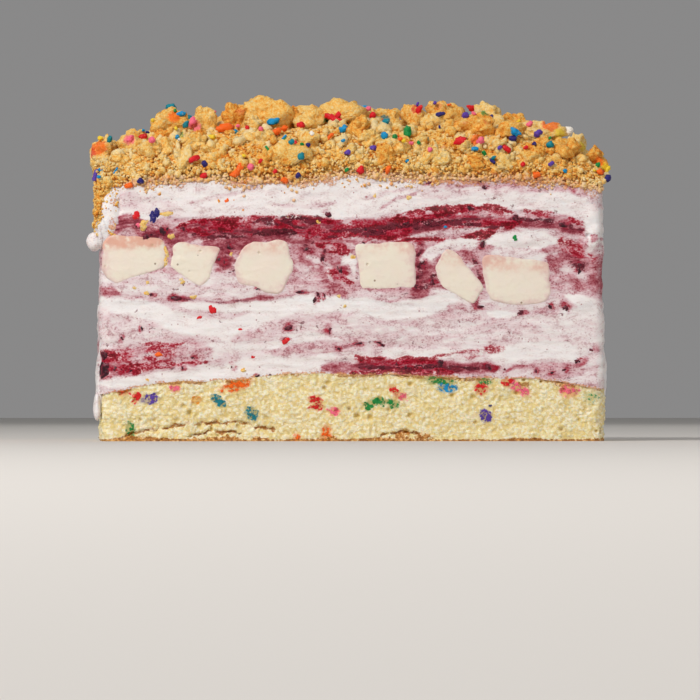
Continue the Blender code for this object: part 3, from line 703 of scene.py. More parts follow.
# The cheesecake chunks' outlines on the front cut face, (x, z) in mm, their depths in mm, and the
# ones that the back face repeats, each turned half round: which outline, and its middle.
chunks = {
    "outlines": (
        ((-78.2, 60.4), (-76.0, 62.4), (-60.4, 60.7), (-60.6, 54.9), (-75.0, 49.7), (-78.6, 53.4)),
        ((-58.0, 61.9), (-56.0, 63.4), (-42.6, 61.4), (-47.0, 50.2), (-49.4, 49.1), (-58.4, 54.9)),
        ((-34.6, 61.9), (-26.7, 63.6), (-21.1, 63.0), (-18.9, 55.8), (-23.3, 47.3), (-36.2, 50.7),
         (-37.5, 55.2)),
        ((-0.5, 61.2), (2.5, 62.5), (20.3, 62.3), (20.7, 48.4), (1.3, 47.7), (0.6, 52.5)),
        ((27.0, 54.0), (30.6, 60.0), (33.0, 59.1), (41.6, 48.4), (38.8, 43.9), (29.4, 48.9)),
        ((42.2, 57.9), (43.7, 58.5), (62.8, 56.4), (64.0, 47.7), (61.6, 43.6), (50.3, 43.2), (44.4, 46.0)),
    ),
    "depths": (15, 13, 16, 17, 12, 18),
    "back": ((3, -62.0, 54.6), (0, -30.5, 55.0), (5, 2.0, 55.2), (2, 33.5, 54.4), (1, 62.5, 54.4)),
    "proud": 0.3 * mm,
    "ragged": 0.4 * mm,
    "bevel": 1.2 * mm,
    # how far each front chunk stands from its outline, and how much wider and taller it is, in mm
    "shift": ((-0.5, 2.0), (0.2, 0.3), (-0.3, 0.1), (0.2, 0.9), (-0.6, 0.9), (-1.0, 0.7)),
    "grow": ((1.1, 1.8), (0.6, 0.3), (0.6, 0.9), (-0.4, 0.6), (0.8, 0.8), (1.0, 0.8)),
    "corner": 13.0,  # higher makes sharper corners
    "around": 120,
    # rings over the face, the bevel, the wall and the back, and their radii as shares of the outline's
    "rings": (26, 7, 12, 6),
    "faceShares": (0.04, 1),
    "wallShares": (1, 0.97),
    "backShares": (0.93, 0.1),
    # the face is lumpy, falls towards its rim and has pits; all of that ends between these two rings
    "lumps": 0.10 * mm,
    "fall": 0.10 * mm,
    "pitCell": 4.2 * mm,
    "pitDepth": 0.35 * mm,
    "faceEnds": (24, 34),
    # the upper part of every chunk is tinted a little, and that of one of them fully
    "blushTall": 5 * mm,
    "blushed": "chunk_front_1",
    "faintBlush": 0.35,
}


def chunkOutlines():
    found = []
    for index, path in enumerate(chunks["outlines"]):
        moved = (np.array(path) + chunks["shift"][index]) * mm
        found.append((f"chunk_front_{index + 1}", moved, -1, chunks["depths"][index] * mm))
    for index, (which, middleX, middleZ) in enumerate(chunks["back"]):
        path = np.array(chunks["outlines"][which])
        turned = np.array((middleX, middleZ)) - (path - path.mean(axis=0))
        found.append((f"chunk_back_{index + 1}", turned * mm, 1, chunks["depths"][which] * mm))
    return found


# The outward normals of a convex outline's edges.
def outwardOf(path):
    following = np.roll(path, -1, axis=0)
    leg = following - path
    turn = np.sign(np.sum(path[:, 0] * following[:, 1] - path[:, 1] * following[:, 0]))
    return turn * np.stack([leg[:, 1], -leg[:, 0]], axis=-1) / np.hypot(leg[:, 0], leg[:, 1])[:, None]


# How far outside a convex outline each place lies: the largest distance from its edges' lines.
def outsideOf(path, x, z):
    far = np.full(x.shape, -1e9)
    for start, normal in zip(path, outwardOf(path)):
        far = np.maximum(far, (x - start[0]) * normal[0] + (z - start[1]) * normal[1])
    return far


relief = {
    "waves": 0.42 * mm,
    "smears": 0.34 * mm,
    "drags": 0.07 * mm,
    "endLumps": 0.55 * mm,
    "pocket": 1.3 * mm,
    # swellings and holes in the cut face: pixel place, half sizes in pixels, height
    "spots": (
        ((588, 240), (13, 15), 1.3 * mm),
        ((594, 228), (9, 8), 0.6 * mm),
        ((585, 234), (4, 3.5), -1.2 * mm),
        ((590, 212), (12, 12), 0.5 * mm),
        ((578, 300), (16, 12), 0.6 * mm),
        ((520, 238), (34, 8), 0.5 * mm),
        ((481, 242), (4, 5), -1.6 * mm),
        ((164, 262), (3, 9), -0.9 * mm),
        ((107, 366), (8, 9), -0.4 * mm),
    ),
}


# How far the ice cream's surface stands out from its plain wall: long waves, smears and knife drags
# that run along the face, lumps on the end walls, spots, and a pocket behind each chunk.
def creamRelief(points, normals):
    x, z = points[..., 0], points[..., 2]
    out = relief["waves"] * roughNoise(points, (26 * mm, 26 * mm, 10 * mm), 31, 2)
    smear = 1 - np.abs(roughNoise(points, (11 * mm, 11 * mm, 2.8 * mm), 32, 3))
    out += relief["smears"] * (smear - 0.6)
    out += relief["drags"] * softNoise(points, (30 * mm, 30 * mm, 0.8 * mm), 33)
    atEnd = np.abs(normals[..., 0])
    out += atEnd * relief["endLumps"] * roughNoise(points, (7 * mm, 9 * mm, 6 * mm), 34, 3)
    front = smoothStep(-normals[..., 1], 0.6, 0.95)
    across, down = pixelsAt(x, z)
    for (spotX, spotY), (wide, tall), height in relief["spots"]:
        away = np.hypot((across - spotX) / wide, (down - spotY) / tall)
        out += front * height * (1 - smoothStep(away, 0.2, 1.0))
    for _, path, side, _ in chunkOutlines():
        facing = smoothStep(normals[..., 1] * side, 0.6, 0.95)
        outside = outsideOf(path, x, z)
        inside = 1 - smoothStep(outside, -2.0 * mm, -0.8 * mm)
        flat = 1 - smoothStep(outside, 0, 2.5 * mm)
        out = out * (1 - 0.75 * facing * flat) - facing * inside * relief["pocket"]
    return out


# One layer's side: rings round the outline from its lower boundary to its upper one, and the outward
# normals.
def layerGrid(bottomOf, topOf, insets, rows, steps):
    places, normals = outline(insets, 0.0, steps)
    x, y = places[0, :, 0], places[0, :, 1]
    low, high = bottomOf(x, y), topOf(x, y)
    t = np.linspace(0, 1, rows)[:, None]
    side = np.stack([np.broadcast_to(x, (rows, len(x))), np.broadcast_to(y, (rows, len(x))),
                     low + (high - low) * t], axis=-1)
    away = np.broadcast_to(np.concatenate([normals[0], np.zeros((len(x), 1))], axis=-1), side.shape)
    return side, away


# A layer's side closed above and below by rings that shrink to a point: all its points and faces.
def closeLayer(side, bottomOf, topOf):
    shrink = (0.985, 0.95, 0.85, 0.6, 0.3)
    rings = [side]
    for share in shrink:
        ring = side[-1] * share
        ring[:, 2] = topOf(ring[:, 0], ring[:, 1])
        rings.append(ring[None])
        ring = side[0] * share
        ring[:, 2] = bottomOf(ring[:, 0], ring[:, 1])
        rings.insert(0, ring[None])
    points = np.concatenate(rings)
    zero = np.zeros(1)
    poles = np.array([[0, 0, bottomOf(zero, zero)[0]], [0, 0, topOf(zero, zero)[0]]])
    quads, triangles = closedFaces(*points.shape[:2])
    return np.concatenate([points.reshape(-1, 3), poles]), quads, triangles


# Columns along the front, an end, the back and a corner, and the height of a row.
steps = {"front": 430, "end": 110, "back": 280, "arc": 12, "row": 0.40 * mm}


# A layer of ice cream between the boundary of the layer below and its own, pushed out by its relief.
def creamLayer(name, node, below, material):
    layer = layers[name]

    def bottomOf(x, y):
        return boundary(layers[below]["top"], x, y)

    def topOf(x, y):
        return boundary(layer["top"], x, y)

    tall = np.mean(layer["top"]) * mm - np.mean(layers[below]["top"]) * mm
    counts = (steps["front"], steps["end"], steps["back"], steps["arc"])
    side, away = layerGrid(bottomOf, topOf, layer["insets"], int(tall / steps["row"]), counts)
    side = side + away * creamRelief(side, away)[..., None]
    points, quads, triangles = closeLayer(side, bottomOf, topOf)
    return makePiece(name, points, quads, triangles, material, replaced=(node,),
                     fields=marbleFields(points), sharp=55)


# The ice cream: white to dark purple with the berry, then syrup, skins, specks and pressed-in crumbs.
def creamPaint():
    paint = Paint("marbledCream", Subsurface_Weight=0.2, Subsurface_Scale=0.0014,
                  Subsurface_Radius=(1.0, 0.7, 0.55), Specular_IOR_Level=0.12, Coat_Roughness=0.18)
    # streaks lie along the face: the pattern is about five times as long as it is tall
    wavy = paint.cloud(paint.stretched(75, 75, 120), detail=3) - 0.5
    bent = paint.pushed(paint.stretched(130, 130, 620), wavy * 3.0, wavy * 6.0)
    streak = paint.cloud(bent, detail=5, roughness=0.6) * 0.8 - 0.575
    streak = streak + paint.cloud(bent, scale=2.6, detail=4) * 0.35
    fine = paint.cloud(paint.stretched(1500, 1500, 2000), detail=3) - 0.5
    soft = paint.cloud(paint.stretched(300, 300, 420), detail=4) - 0.5
    berry = paint.field("berry")
    amount = berry + streak * (0.16 + berry * 1.5) + soft * 1.1 * berry + fine * (0.03 + 0.7 * berry)
    colour = paint.ramp(amount, (
        (0.0, (243, 240, 239)), (0.15, (236, 229, 228)), (0.28, (226, 207, 210)),
        (0.42, (210, 168, 175)), (0.60, (182, 110, 120)), (0.78, (148, 62, 76)),
        (1.0, (90, 22, 36))))
    # thin wisps, where a second streaky noise passes through its middle value
    wisp = (paint.cloud(bent, scale=0.55, detail=4) - 0.5).calc("ABSOLUTE")
    broken = (soft * 4 + fine * 3 + 0.5).clamped() * (berry * 1.4 + 0.15).clamped()
    colour = paint.mix(wisp.between(0.026, 0.0) * broken * 0.8, colour, (162, 82, 94))
    # a dust of fine reddish grains, thicker where there is more berry
    reddish = (fine + soft * 0.7 + streak * 0.3).between(0.06, 0.16) * (berry * 1.9).clamped()
    colour = paint.mix(reddish * 0.65, colour, (140, 42, 56))
    # syrup: pink where it is thin, then crimson, then nearly black red
    juice = paint.field("juice") * (1.0 + streak * 1.6 + soft * 1.8 + fine * 2.4)
    syrup = paint.ramp(juice + (fine + soft) * 0.7, (
        (0.20, (200, 76, 98)), (0.42, (176, 18, 50)), (0.70, (144, 0, 28)), (1.0, (100, 0, 12))))
    soaked = juice.between(0.12, 0.52)
    colour = paint.mix(soaked * 0.95, colour, syrup)
    pulp = (paint.field("pulp") * (1.0 + streak * 2.2 + soft * 2.8 + fine * 2.2)).between(0.24, 0.56)
    skins = paint.mix((soft + fine * 1.3).between(-0.14, 0.16), (48, 6, 16), (114, 36, 52))
    colour = paint.mix(pulp * 0.92, colour, skins)
    # dark specks of skin and seed in some of the cells, and smaller ones in finer cells
    spotPlace = paint.pushed(paint.stretched(420, 420, 560), soft * 2.4, fine * 1.6)
    chosen = (paint.cellOwn(spotPlace) - berry * 0.5 - 0.02).between(0.05, 0.0)
    speck = paint.cells(spotPlace).between(0.26, 0.10) * chosen
    colour = paint.mix(speck * 0.8, colour, (112, 34, 46))
    tinyPlace = paint.stretched(1000, 1000, 1000)
    chosen = (paint.cellOwn(tinyPlace) - berry * 0.25).between(0.05, 0.0)
    colour = paint.mix(paint.cells(tinyPlace).between(0.34, 0.15) * chosen * 0.7, colour, (150, 50, 62))
    # crumbs pressed into the cream
    grit = paint.cells(paint.stretched(1300, 1300, 1300))
    dust = (paint.field("dust") * (1.0 + soft * 2.4 + fine * 2.0 + (0.35 - grit) * 0.8)).between(0.42, 0.72)
    crumbColour = paint.mix(fine * 2 + grit + 0.1, (236, 190, 148), (206, 132, 90))
    colour = paint.mix(dust * 0.85, colour, crumbColour)
    wet = (soaked * 0.7 + pulp * 0.6).clamped()
    paint.feed(paint.shader.inputs["Coat Weight"], wet * 0.3)
    height = streak * 0.18 + soft * 0.4 + fine * 0.3 + wet * 0.3 + speck * 0.4 + dust * 0.6
    paint.relief(height, 0.0006, 0.55)
    return paint.finish(colour, 0.46 - wet * 0.22 + fine * 0.15)


# The colours of sprinkles and of what they stain.
tints = {
    "red": (222, 20, 34), "pink": (250, 112, 140), "orange": (248, 104, 20), "yellow": (244, 208, 50),
    "green": (14, 140, 66), "teal": (0, 130, 146), "blue": (0, 146, 204), "purple": (92, 62, 168),
    "navy": (38, 32, 112), "white": (244, 238, 226), "amber": (242, 160, 52),
}
spongeLook = {
    # stains of melted sprinkles on the cut face: pixel place, half sizes in pixels, turn in degrees and
    # colour
    "stains": (
        (125, 386, 6, 4, 10, "red"), (138, 394, 4, 4, 0, "red"), (150, 395, 7, 3.5, -10, "purple"),
        (176, 384, 4, 3.5, 0, "pink"), (236, 382, 12, 4, -14, "orange"), (197, 397, 4, 3, 0, "amber"),
        (217, 395, 4, 3.5, 0, "teal"), (252, 410, 5.5, 5, 0, "teal"), (132, 425, 3.5, 8, 0, "green"),
        (314, 396, 6, 3, 10, "red"), (315, 403, 5.5, 3, 0, "red"), (332, 408, 5.5, 3, 15, "pink"),
        (378, 398, 9, 3.2, 0, "green"), (391, 399, 6, 3.2, 20, "green"), (393, 389, 6, 3, 35, "red"),
        (401, 393, 4, 2.5, 30, "pink"), (437, 377, 12, 3, 4, "green"), (445, 384, 6.5, 4.5, 0, "blue"),
        (478, 384, 5, 5, 0, "red"), (482, 378, 7, 2.5, 10, "green"), (506, 379, 5, 3.5, 0, "red"),
        (513, 383, 7, 4, 25, "pink"), (566, 387, 7, 5, -10, "pink"), (483, 412, 5.5, 4, 40, "purple"),
        (488, 402, 1.5, 1.5, 0, "navy"), (326, 429, 4, 7, 0, "orange"), (296, 434, 4, 3, 0, "orange"),
        (588, 393, 8, 6, 0, "green"), (366, 402, 3.5, 3, 0, "green"), (124, 384, 5, 2.5, 10, "pink"),
        (221, 399, 3, 3, 0, "teal"), (520, 388, 5, 4, 30, "pink"), (106, 386, 3, 2, 0, "green"),
    ),
    # half width and softness of a stroke and its path, in pixels: tears, which are painted brown as shade
    # in their cracks, patches of brown crust at the bottom, and toasted patches at the top
    "tears": (
        (0.4, 2.0, ((126, 432), (142, 427), (160, 425), (182, 421), (204, 419), (236, 419), (252, 422),
                    (274, 425))),
        (0.3, 1.8, ((190, 432), (216, 427), (240, 429))),
        (0.3, 1.8, ((380, 431), (400, 427), (416, 430))),
    ),
    "crust": (
        (1.6, 3.0, ((186, 437), (226, 434), (266, 436))),
        (2.2, 4.0, ((372, 437), (392, 433), (412, 431), (430, 435))),
        (1.2, 2.5, ((302, 440), (330, 434), (340, 438))),
        (1.0, 3.0, ((100, 440), (130, 433), (150, 438))),
    ),
    "toast": (
        (1.2, 3.0, ((102, 386), (120, 380), (150, 379), (166, 377))),
        (1.0, 2.5, ((238, 378), (262, 372), (300, 370))),
        (1.6, 3.5, ((516, 380), (552, 380), (602, 386))),
    ),
    # the right end is lit from the side there, and its stains are fainter
    "faintFrom": 580,
    "faint": 0.4,
    "lattice": 9 * mm,
    "latticeShare": 0.42,
    "grain": 1.15 * mm,
    "grainHeight": 0.40 * mm,
    "pore": 4.4 * mm,
    "poreDepth": 0.9 * mm,
    "rough": 0.42 * mm,
    "tearDepth": 1.0 * mm,
    "endRough": 0.5 * mm,
    "reach": (0.5, 0.6),  # how far the crumbly end walls stand out past the solid's, in mm
    "rows": 58,
    "moreColumns": (60, 20),  # along the front and the ends, past those of the ice cream
}


# Stains over a surface, one after another: a place takes the colour of the one that covers it most.
def stained(colour, amount, cover, tint):
    return np.where((cover > amount)[..., None], tint, colour), np.maximum(amount, cover)


# The strokes' cover at each pixel place, the largest of them all.
def mostCover(across, down, paths):
    return np.maximum.reduce([strokeCover(across, down, half, soft, path) for half, soft, path in paths])


# What the sponge's material reads at each point: stains of melted sprinkles, tears, and the browned
# skins above and below.
def spongeFields(points):
    x, y, z = points[..., 0], points[..., 1], points[..., 2]
    across, down = pixelsAt(x, z)
    across = across + 2.6 * roughNoise(points, 1.5 * mm, 41)
    down = down + 2.2 * roughNoise(points, 1.5 * mm, 42)
    front = 1 - smoothStep(y, -halfDepth + 2 * mm, -halfDepth + 4 * mm)
    colour = np.ones(points.shape)
    amount = np.zeros(x.shape)
    palette = {name: np.array(linear(value)) for name, value in tints.items()}
    for spotX, spotY, wide, tall, turn, tint in spongeLook["stains"]:
        c, s = math.cos(math.radians(turn)), math.sin(math.radians(turn))
        along, over = across - spotX, down - spotY
        away = np.hypot((along * c + over * s) / wide, (over * c - along * s) / tall)
        strength = spongeLook["faint"] if spotX > spongeLook["faintFrom"] else 1.0
        cover = front * (1 - smoothStep(away, 0.3, 2.1)) * strength
        colour, amount = stained(colour, amount, cover, palette[tint])
    # the other faces get stains of their own, one in some of the cells of a lattice
    near, own = cellNoise(points, spongeLook["lattice"], 43)
    shades = np.array(list(palette.values()))
    pick = (own * 997).astype(int) % len(shades)
    cover = (1 - front) * (own < spongeLook["latticeShare"]) * (1 - smoothStep(near, 0.08, 0.30))
    colour, amount = stained(colour, amount, cover, shades[pick])
    tear = front * mostCover(across, down, spongeLook["tears"])
    tear = tear * np.clip(0.9 + 0.8 * roughNoise(points, 3 * mm, 49), 0, 1)
    top = boundary(layers["sponge"]["top"], x, y)
    skin = smoothStep(z - top, -1.7 * mm, -0.2 * mm)
    skin = skin * np.clip(0.55 + 0.9 * roughNoise(points, 9 * mm, 44), 0, 1)
    thick = (0.8 + 1.0 * roughNoise(points, 14 * mm, 45)) * mm
    base = 1 - smoothStep(z, 0.3 * thick, np.maximum(thick, 0.5 * mm) + 0.6 * mm)
    broken = front * np.clip(0.62 + 1.1 * roughNoise(points, 2.4 * mm, 40), 0, 1)
    base = np.maximum(base, broken * mostCover(across, down, spongeLook["crust"]))
    skin = np.maximum(skin, broken * mostCover(across, down, spongeLook["toast"]))
    return {"stain": colour, "stained": amount, "tear": tear, "topSkin": skin, "baseSkin": base}


# How far the sponge's crumb stands out from its plain wall, and where it has a pore.
def spongeRelief(points):
    out = spongeLook["grainHeight"] * grains(points, spongeLook["grain"], 46, 1, 1.5, 0.5)
    near, own = cellNoise(points, spongeLook["pore"], 47)
    hole = (1 - smoothStep(near, 0.06, 0.12 + 0.20 * own)) * (own > 0.25)
    out -= spongeLook["poreDepth"] * hole
    out += spongeLook["rough"] * roughNoise(points, 4.4 * mm, 48, 4)
    return out - 0.1 * mm, hole


def makeSponge(material):
    layer = layers["sponge"]

    def bottomOf(x, y):
        return np.zeros_like(x)

    def topOf(x, y):
        return boundary(layer["top"], x, y)

    moreFront, moreEnd = spongeLook["moreColumns"]
    counts = (steps["front"] + moreFront, steps["end"] + moreEnd, steps["back"], steps["arc"])
    insets = [inset - reach for inset, reach in zip(layer["insets"], spongeLook["reach"])]
    side, away = layerGrid(bottomOf, topOf, insets, spongeLook["rows"], counts)
    out, hole = spongeRelief(side)
    out = out - spongeLook["tearDepth"] * spongeFields(side)["tear"]
    out = out + spongeLook["endRough"] * np.abs(away[..., 0]) * roughNoise(side, 4 * mm, 50)
    # less of it near the underside, which has to stay flat
    flush = smoothStep(side[..., 2], 0.0, 0.8 * mm) * 0.7 + 0.3
    side = side + away * (out * flush)[..., None]
    points, quads, triangles = closeLayer(side, bottomOf, topOf)
    # the pores are on the side alone, which has as many rings closing it below as above
    closing = (len(points) - 2 - hole.size) // 2
    holes = np.pad(hole.ravel(), (closing, closing + 2))
    return makePiece("spongeCake", points, quads, triangles, material, replaced=("sponge",),
                     fields={**spongeFields(points), "hole": holes}, sharp=60)


# The sponge: pale crumb whose gaps and pores are painted darker yellow as shade, stained by sprinkles,
# baked brown above and below, with tears painted brown as shade.
def spongePaint():
    paint = Paint("spongeCrumb", Subsurface_Weight=0.3, Subsurface_Scale=0.0016,
                  Subsurface_Radius=(1.0, 0.75, 0.4), Specular_IOR_Level=0.05)
    fine = paint.cloud(paint.stretched(1500, 1500, 1500), detail=4, roughness=0.7)
    blotch = paint.cloud(paint.stretched(170, 170, 220), detail=4)
    bent = paint.pushed(paint.stretched(760, 760, 840), fine * 1.6, blotch * 2.4)
    near = paint.cells(bent)
    small = paint.cells(bent, scale=2.2)
    colour = paint.mix(fine.between(0.35, 0.65), (250, 236, 188), (253, 249, 228))
    # painted shade: darker yellow in the gaps between the crumbs, where the bump sinks
    colour = paint.mix((near * 0.7 + small * 0.5).between(0.42, 0.80) * 0.7, colour, (226, 198, 110))
    colour = paint.mix(blotch.between(0.52, 0.72) * 0.5, colour, (255, 248, 224))
    colour = paint.mix(blotch.between(0.46, 0.30) * 0.5, colour, (248, 230, 160))
    # painted shade: the pores darker yellow
    colour = paint.mix(paint.field("hole") * 0.8, colour, (208, 176, 82))
    # a stain is strong in its middle, ragged between the crumbs, and has a faint rim
    amount = paint.field("stained")
    tint = paint.field("stain", "Color")
    colour = paint.mix(amount.between(0.0, 0.8) * 0.4, colour, tint, "MULTIPLY")
    ragged = 1.2 + (fine - 0.5) * 2.2 + (0.32 - near) * 1.8 + (0.3 - small) * 0.8
    spread = (amount * ragged).between(0.2, 0.55)
    # painted shade: within a stain, the gaps between the crumbs turn dark brown
    deep = paint.mix((near * 0.7 + small * 0.5).between(0.5, 0.8) * 0.5, tint, (60, 40, 30))
    colour = paint.mix(spread * 0.96, colour, deep)
    uneven = (fine - 0.5) * 1.3 + (near - 0.45) * 0.7 + (small - 0.4) * 0.6
    baked = paint.ramp(uneven + 0.5, ((0.1, (248, 206, 132)), (0.45, (222, 156, 76)), (0.8, (150, 84, 26))))
    skin = (paint.field("topSkin") * (1.0 + uneven * 1.3)).between(0.3, 0.95)
    colour = paint.mix(skin * 0.75, colour, baked)
    crust = (paint.field("baseSkin") * (1.0 + uneven * 1.5)).between(0.3, 0.8)
    colour = paint.mix(crust * 0.9, colour, baked)
    # painted shade: the tears brown in their cracks
    torn = (paint.field("tear") * (1.0 + uneven)).between(0.25, 0.8)
    colour = paint.mix(torn * 0.85, colour, (174, 104, 32))
    paint.relief(fine * 0.35 - near * 0.9 - small * 0.4, 0.0009, 0.55)
    return paint.finish(colour, 0.86)


# A chunk is a rounded polygon carried back from the cut face: round each ring the radius is a soft
# minimum over the outline's edges, and the rings run face, bevel, side, back.
def makeChunk(node, path, side, depth, material, index):
    middle = path.mean(axis=0)
    normal = outwardOf(path)
    grow = np.array(chunks["grow"][index % len(chunks["grow"])]) * mm
    reach = np.sum((path - middle) * normal, axis=1) + np.abs(normal) @ grow
    angle = fullTurn(chunks["around"])
    ray = np.stack([np.cos(angle), np.sin(angle)], axis=-1)
    share = np.maximum(ray @ normal.T, 0) / reach
    radius = np.sum(share ** chunks["corner"], axis=1) ** (-1 / chunks["corner"])
    rim = middle[:, None] + radius * ray.T
    rim = np.stack([rim[0], radius * 0, rim[1]], axis=-1)
    radius += chunks["ragged"] * roughNoise(rim, 4 * mm, 75 + index)
    bevel = chunks["bevel"]
    onFace, onBevel, onWall, onBack = chunks["rings"]
    curve = np.linspace(0, np.pi / 2, onBevel + 1)[1:, None]
    ring = np.concatenate([np.linspace(*chunks["faceShares"], onFace)[:, None] * (radius - bevel),
                           radius - bevel + bevel * np.sin(curve),
                           np.linspace(*chunks["wallShares"], onWall)[:, None] * radius,
                           np.linspace(*chunks["backShares"], onBack)[:, None] * radius])
    deep = np.concatenate([np.zeros(onFace), (bevel * (1 - np.cos(curve))).ravel(),
                           np.linspace(bevel * 1.2, depth - 0.2 * bevel, onWall), np.full(onBack, depth)])
    front = side * (halfDepth + chunks["proud"])
    points = np.stack([middle[0] + ring * ray[:, 0], (front - side * deep)[:, None] * np.ones_like(ring),
                       middle[1] + ring * ray[:, 1]], axis=-1)
    flat = 1 - smoothStep(np.arange(len(ring)), *chunks["faceEnds"])[:, None]
    lumps = chunks["lumps"] * roughNoise(points, (7 * mm, 7 * mm, 3 * mm), 60 + index, 3)
    lumps = lumps - chunks["fall"] * smoothStep(ring / radius, 0.5, 0.95)
    near, own = cellNoise(points, chunks["pitCell"], 70 + index)
    pit = (1 - smoothStep(near, 0.05, 0.14)) * (own > 0.55)
    points[..., 1] += side * flat * (lumps - chunks["pitDepth"] * pit)
    poles = np.array([[middle[0], front, middle[1]], [middle[0], front - side * depth, middle[1]]])
    quads, triangles = closedFaces(*ring.shape)
    if side > 0:
        quads, triangles = quads[:, ::-1], triangles[:, ::-1]
    points = np.concatenate([points.reshape(-1, 3), poles])
    blush = smoothStep(points[:, 2] - middle[1], 0.0, chunks["blushTall"])
    blush = blush * (1.0 if node == chunks["blushed"] else chunks["faintBlush"])
    fields = {"rim": np.append(np.clip(ring / radius, 0, 1), [0, 0]), "pit": np.append(flat * pit, [0, 0]),
              "blush": blush}
    return makePiece(node.replace("_", ""), points, quads, triangles, material, replaced=(node,),
                     fields=fields)


# Cheesecake: cream white, pinkish towards the rim and the upper edge, with small brown specks.
def chunkPaint():
    paint = Paint("cheesecake", Subsurface_Weight=0.2, Subsurface_Scale=0.0015,
                  Subsurface_Radius=(1.0, 0.75, 0.5))
    fine = paint.cloud(paint.stretched(700, 700, 700), detail=4)
    wide = paint.cloud(paint.stretched(110, 110, 150), detail=3)
    colour = paint.mix(wide.between(0.35, 0.65), (237, 229, 212), (238, 226, 212))
    colour = paint.mix(fine.between(0.5, 0.8) * 0.25, colour, (228, 214, 192))
    rim = (paint.field("rim") + (wide - 0.5) * 0.6 + (fine - 0.5) * 0.5).between(0.70, 1.06)
    colour = paint.mix(rim * 0.8, colour, (222, 190, 186))
    blush = (paint.field("blush") * (1.0 + (wide - 0.5) * 3.6 + (fine - 0.5) * 1.6)).between(0.1, 0.9)
    colour = paint.mix(blush * 0.8, colour, (222, 158, 134))
    specks = paint.stretched(300, 300, 300)
    speck = paint.cells(specks).between(0.13, 0.06) * paint.cellOwn(specks).between(0.26, 0.16)
    colour = paint.mix(speck * 0.8, colour, (120, 84, 50))
    # painted shade: the pits darker tan
    colour = paint.mix(paint.field("pit") * 0.4, colour, (190, 160, 110))
    paint.relief(fine, 0.0003, 0.5)
    return paint.finish(colour, 0.5 - fine * 0.1)


mound = {
    "slope": 13 * mm,
    "shoulder": 7 * mm,
    "overhang": 1.5 * mm,
    "lumps": 1.2 * mm,
    "lumpLength": 9 * mm,
    "insets": (-0.6, -0.4),
}


# The mound's height: it climbs from the cream's edge as a sine to the power 0.8 over the slope, and
# falls off at the ends as a sine to the power 0.5 over the shoulder.
def moundHeight(x, y):
    crest = alongWidth(crumbCore, x)
    foot = alongWidth(layers["creamTop"]["top"], x)
    fromFace = np.clip((halfDepth - np.abs(y)) / mound["slope"], 0, 1)
    fromEnd = np.clip((halfWidth + mound["overhang"] - np.abs(x)) / mound["shoulder"], 0, 1)
    faceShare = np.sin(np.pi / 2 * fromFace) ** 0.8
    endShare = np.sin(np.pi / 2 * fromEnd) ** 0.5
    lift = 0.22 + 0.78 * faceShare
    return foot + (crest - foot) * lift * (0.45 + 0.55 * endShare), faceShare


# The same at one place, with the lumps that the solid has.
def moundAt(x, y):
    height, faceShare = moundHeight(np.array([x]), np.array([y]))
    lump = noise.noise(Vector((x, y, 0)) / mound["lumpLength"])
    return float(height[0] + mound["lumps"] * lump * faceShare[0])


clumps = {
    "seed": 7,
    # along the front and the ridge, as the photo shows them: x, z, width, height in mm
    "front": (
        (-79, 95, 7, 6.5), (-69.6, 98.2, 9, 6.5), (-58, 102.6, 11.5, 7.5), (-47.5, 104, 7, 5),
        (-43.9, 103, 8.5, 6.5), (-36.8, 104.6, 7, 8), (-27, 106.8, 13.5, 7.5), (-31, 102.2, 5.5, 5),
        (-23, 103.6, 8, 6.5), (-17.6, 105.2, 6, 5), (-10.6, 105.6, 11, 7.5), (-0.8, 106.6, 13.5, 8),
        (2.4, 100.2, 6.5, 7.5), (12.6, 105.4, 7, 5.5), (20.4, 106.6, 7, 5.5), (19, 103.2, 8, 5),
        (30, 106.2, 11, 7), (27, 102.6, 6, 6.5), (33.6, 101, 6, 5), (41.6, 101.4, 11.5, 7.5),
        (45.4, 105.4, 8.5, 6), (54.6, 104.4, 8.5, 5), (51.4, 99.4, 9, 6.5), (62.3, 99.8, 13.5, 8),
        (68.2, 93.4, 7.5, 8), (74.4, 95.4, 7.5, 8), (79.4, 90.8, 6, 7), (-20.4, 91, 10, 9),
        (-64, 93.6, 6.5, 5.5), (-50, 95, 6, 5.5), (36.5, 94, 6.5, 5.5), (10.5, 95, 6, 5),
    ),
    "spread": 1.12,
    # clumps that took up a sprinkle's colour: pixel place, half width in pixels, and colour
    "stains": (
        (101, 143, 8, "orange"), (94, 147, 5, "red"), (554, 119, 8, "orange"), (562, 130, 6, "yellow"),
        (131, 137, 5, "pink"), (420, 104, 5, "red"), (196, 124, 6, "pink"), (486, 109, 4, "green"),
        (176, 113, 6, "orange"), (475, 138, 6, "orange"), (330, 118, 5, "green"), (386, 116, 5, "teal"),
        (600, 158, 5, "orange"), (588, 140, 5, "yellow"), (179, 133, 5, "green"), (606, 165, 6, "yellow"),
    ),
    "topCount": 62,
    "topSize": (8.0, 13.5),
    "topSpacing": 8.0 * mm,
    "tries": 6000,
    "slopeCount": 44,
    "slopeSize": (3.8, 7.0),
    "slopeHeights": (86, 98),
    "sunk": 1.5 * mm,
    "out": 1.5 * mm,  # how far one may stand out past the cut face
    # how far back the ones too high for the slope lie, and how far they are scattered from there
    "crestDepth": 22.0 * mm,
    "crestScatter": (-6.0, 8.0),
    # columns and rings
    "frontDetail": (44, 25),
    "topDetail": (32, 18),
    "rough": 0.5,
    "grain": 0.9 * mm,
    "grainSize": 3.0 * mm,
    "tones": (0.22, 0.66),
}


# How far back the front slope stands at a height.
def frontDepth(x, z):
    for step in range(40):
        y = -halfDepth + step * 0.6 * mm
        if moundAt(x, y) >= z:
            return y
    return -halfDepth + clumps["crestDepth"]


# A clump with its top at a height, its foot sunk in the mound: its centre, its sizes and its turn.
def restedClump(x, y, top, width, height, turn):
    base = min(top - height, moundAt(x, y) - clumps["sunk"])
    return (x, y, (top + base) / 2), (width, (width + height) / 2, top - base), turn


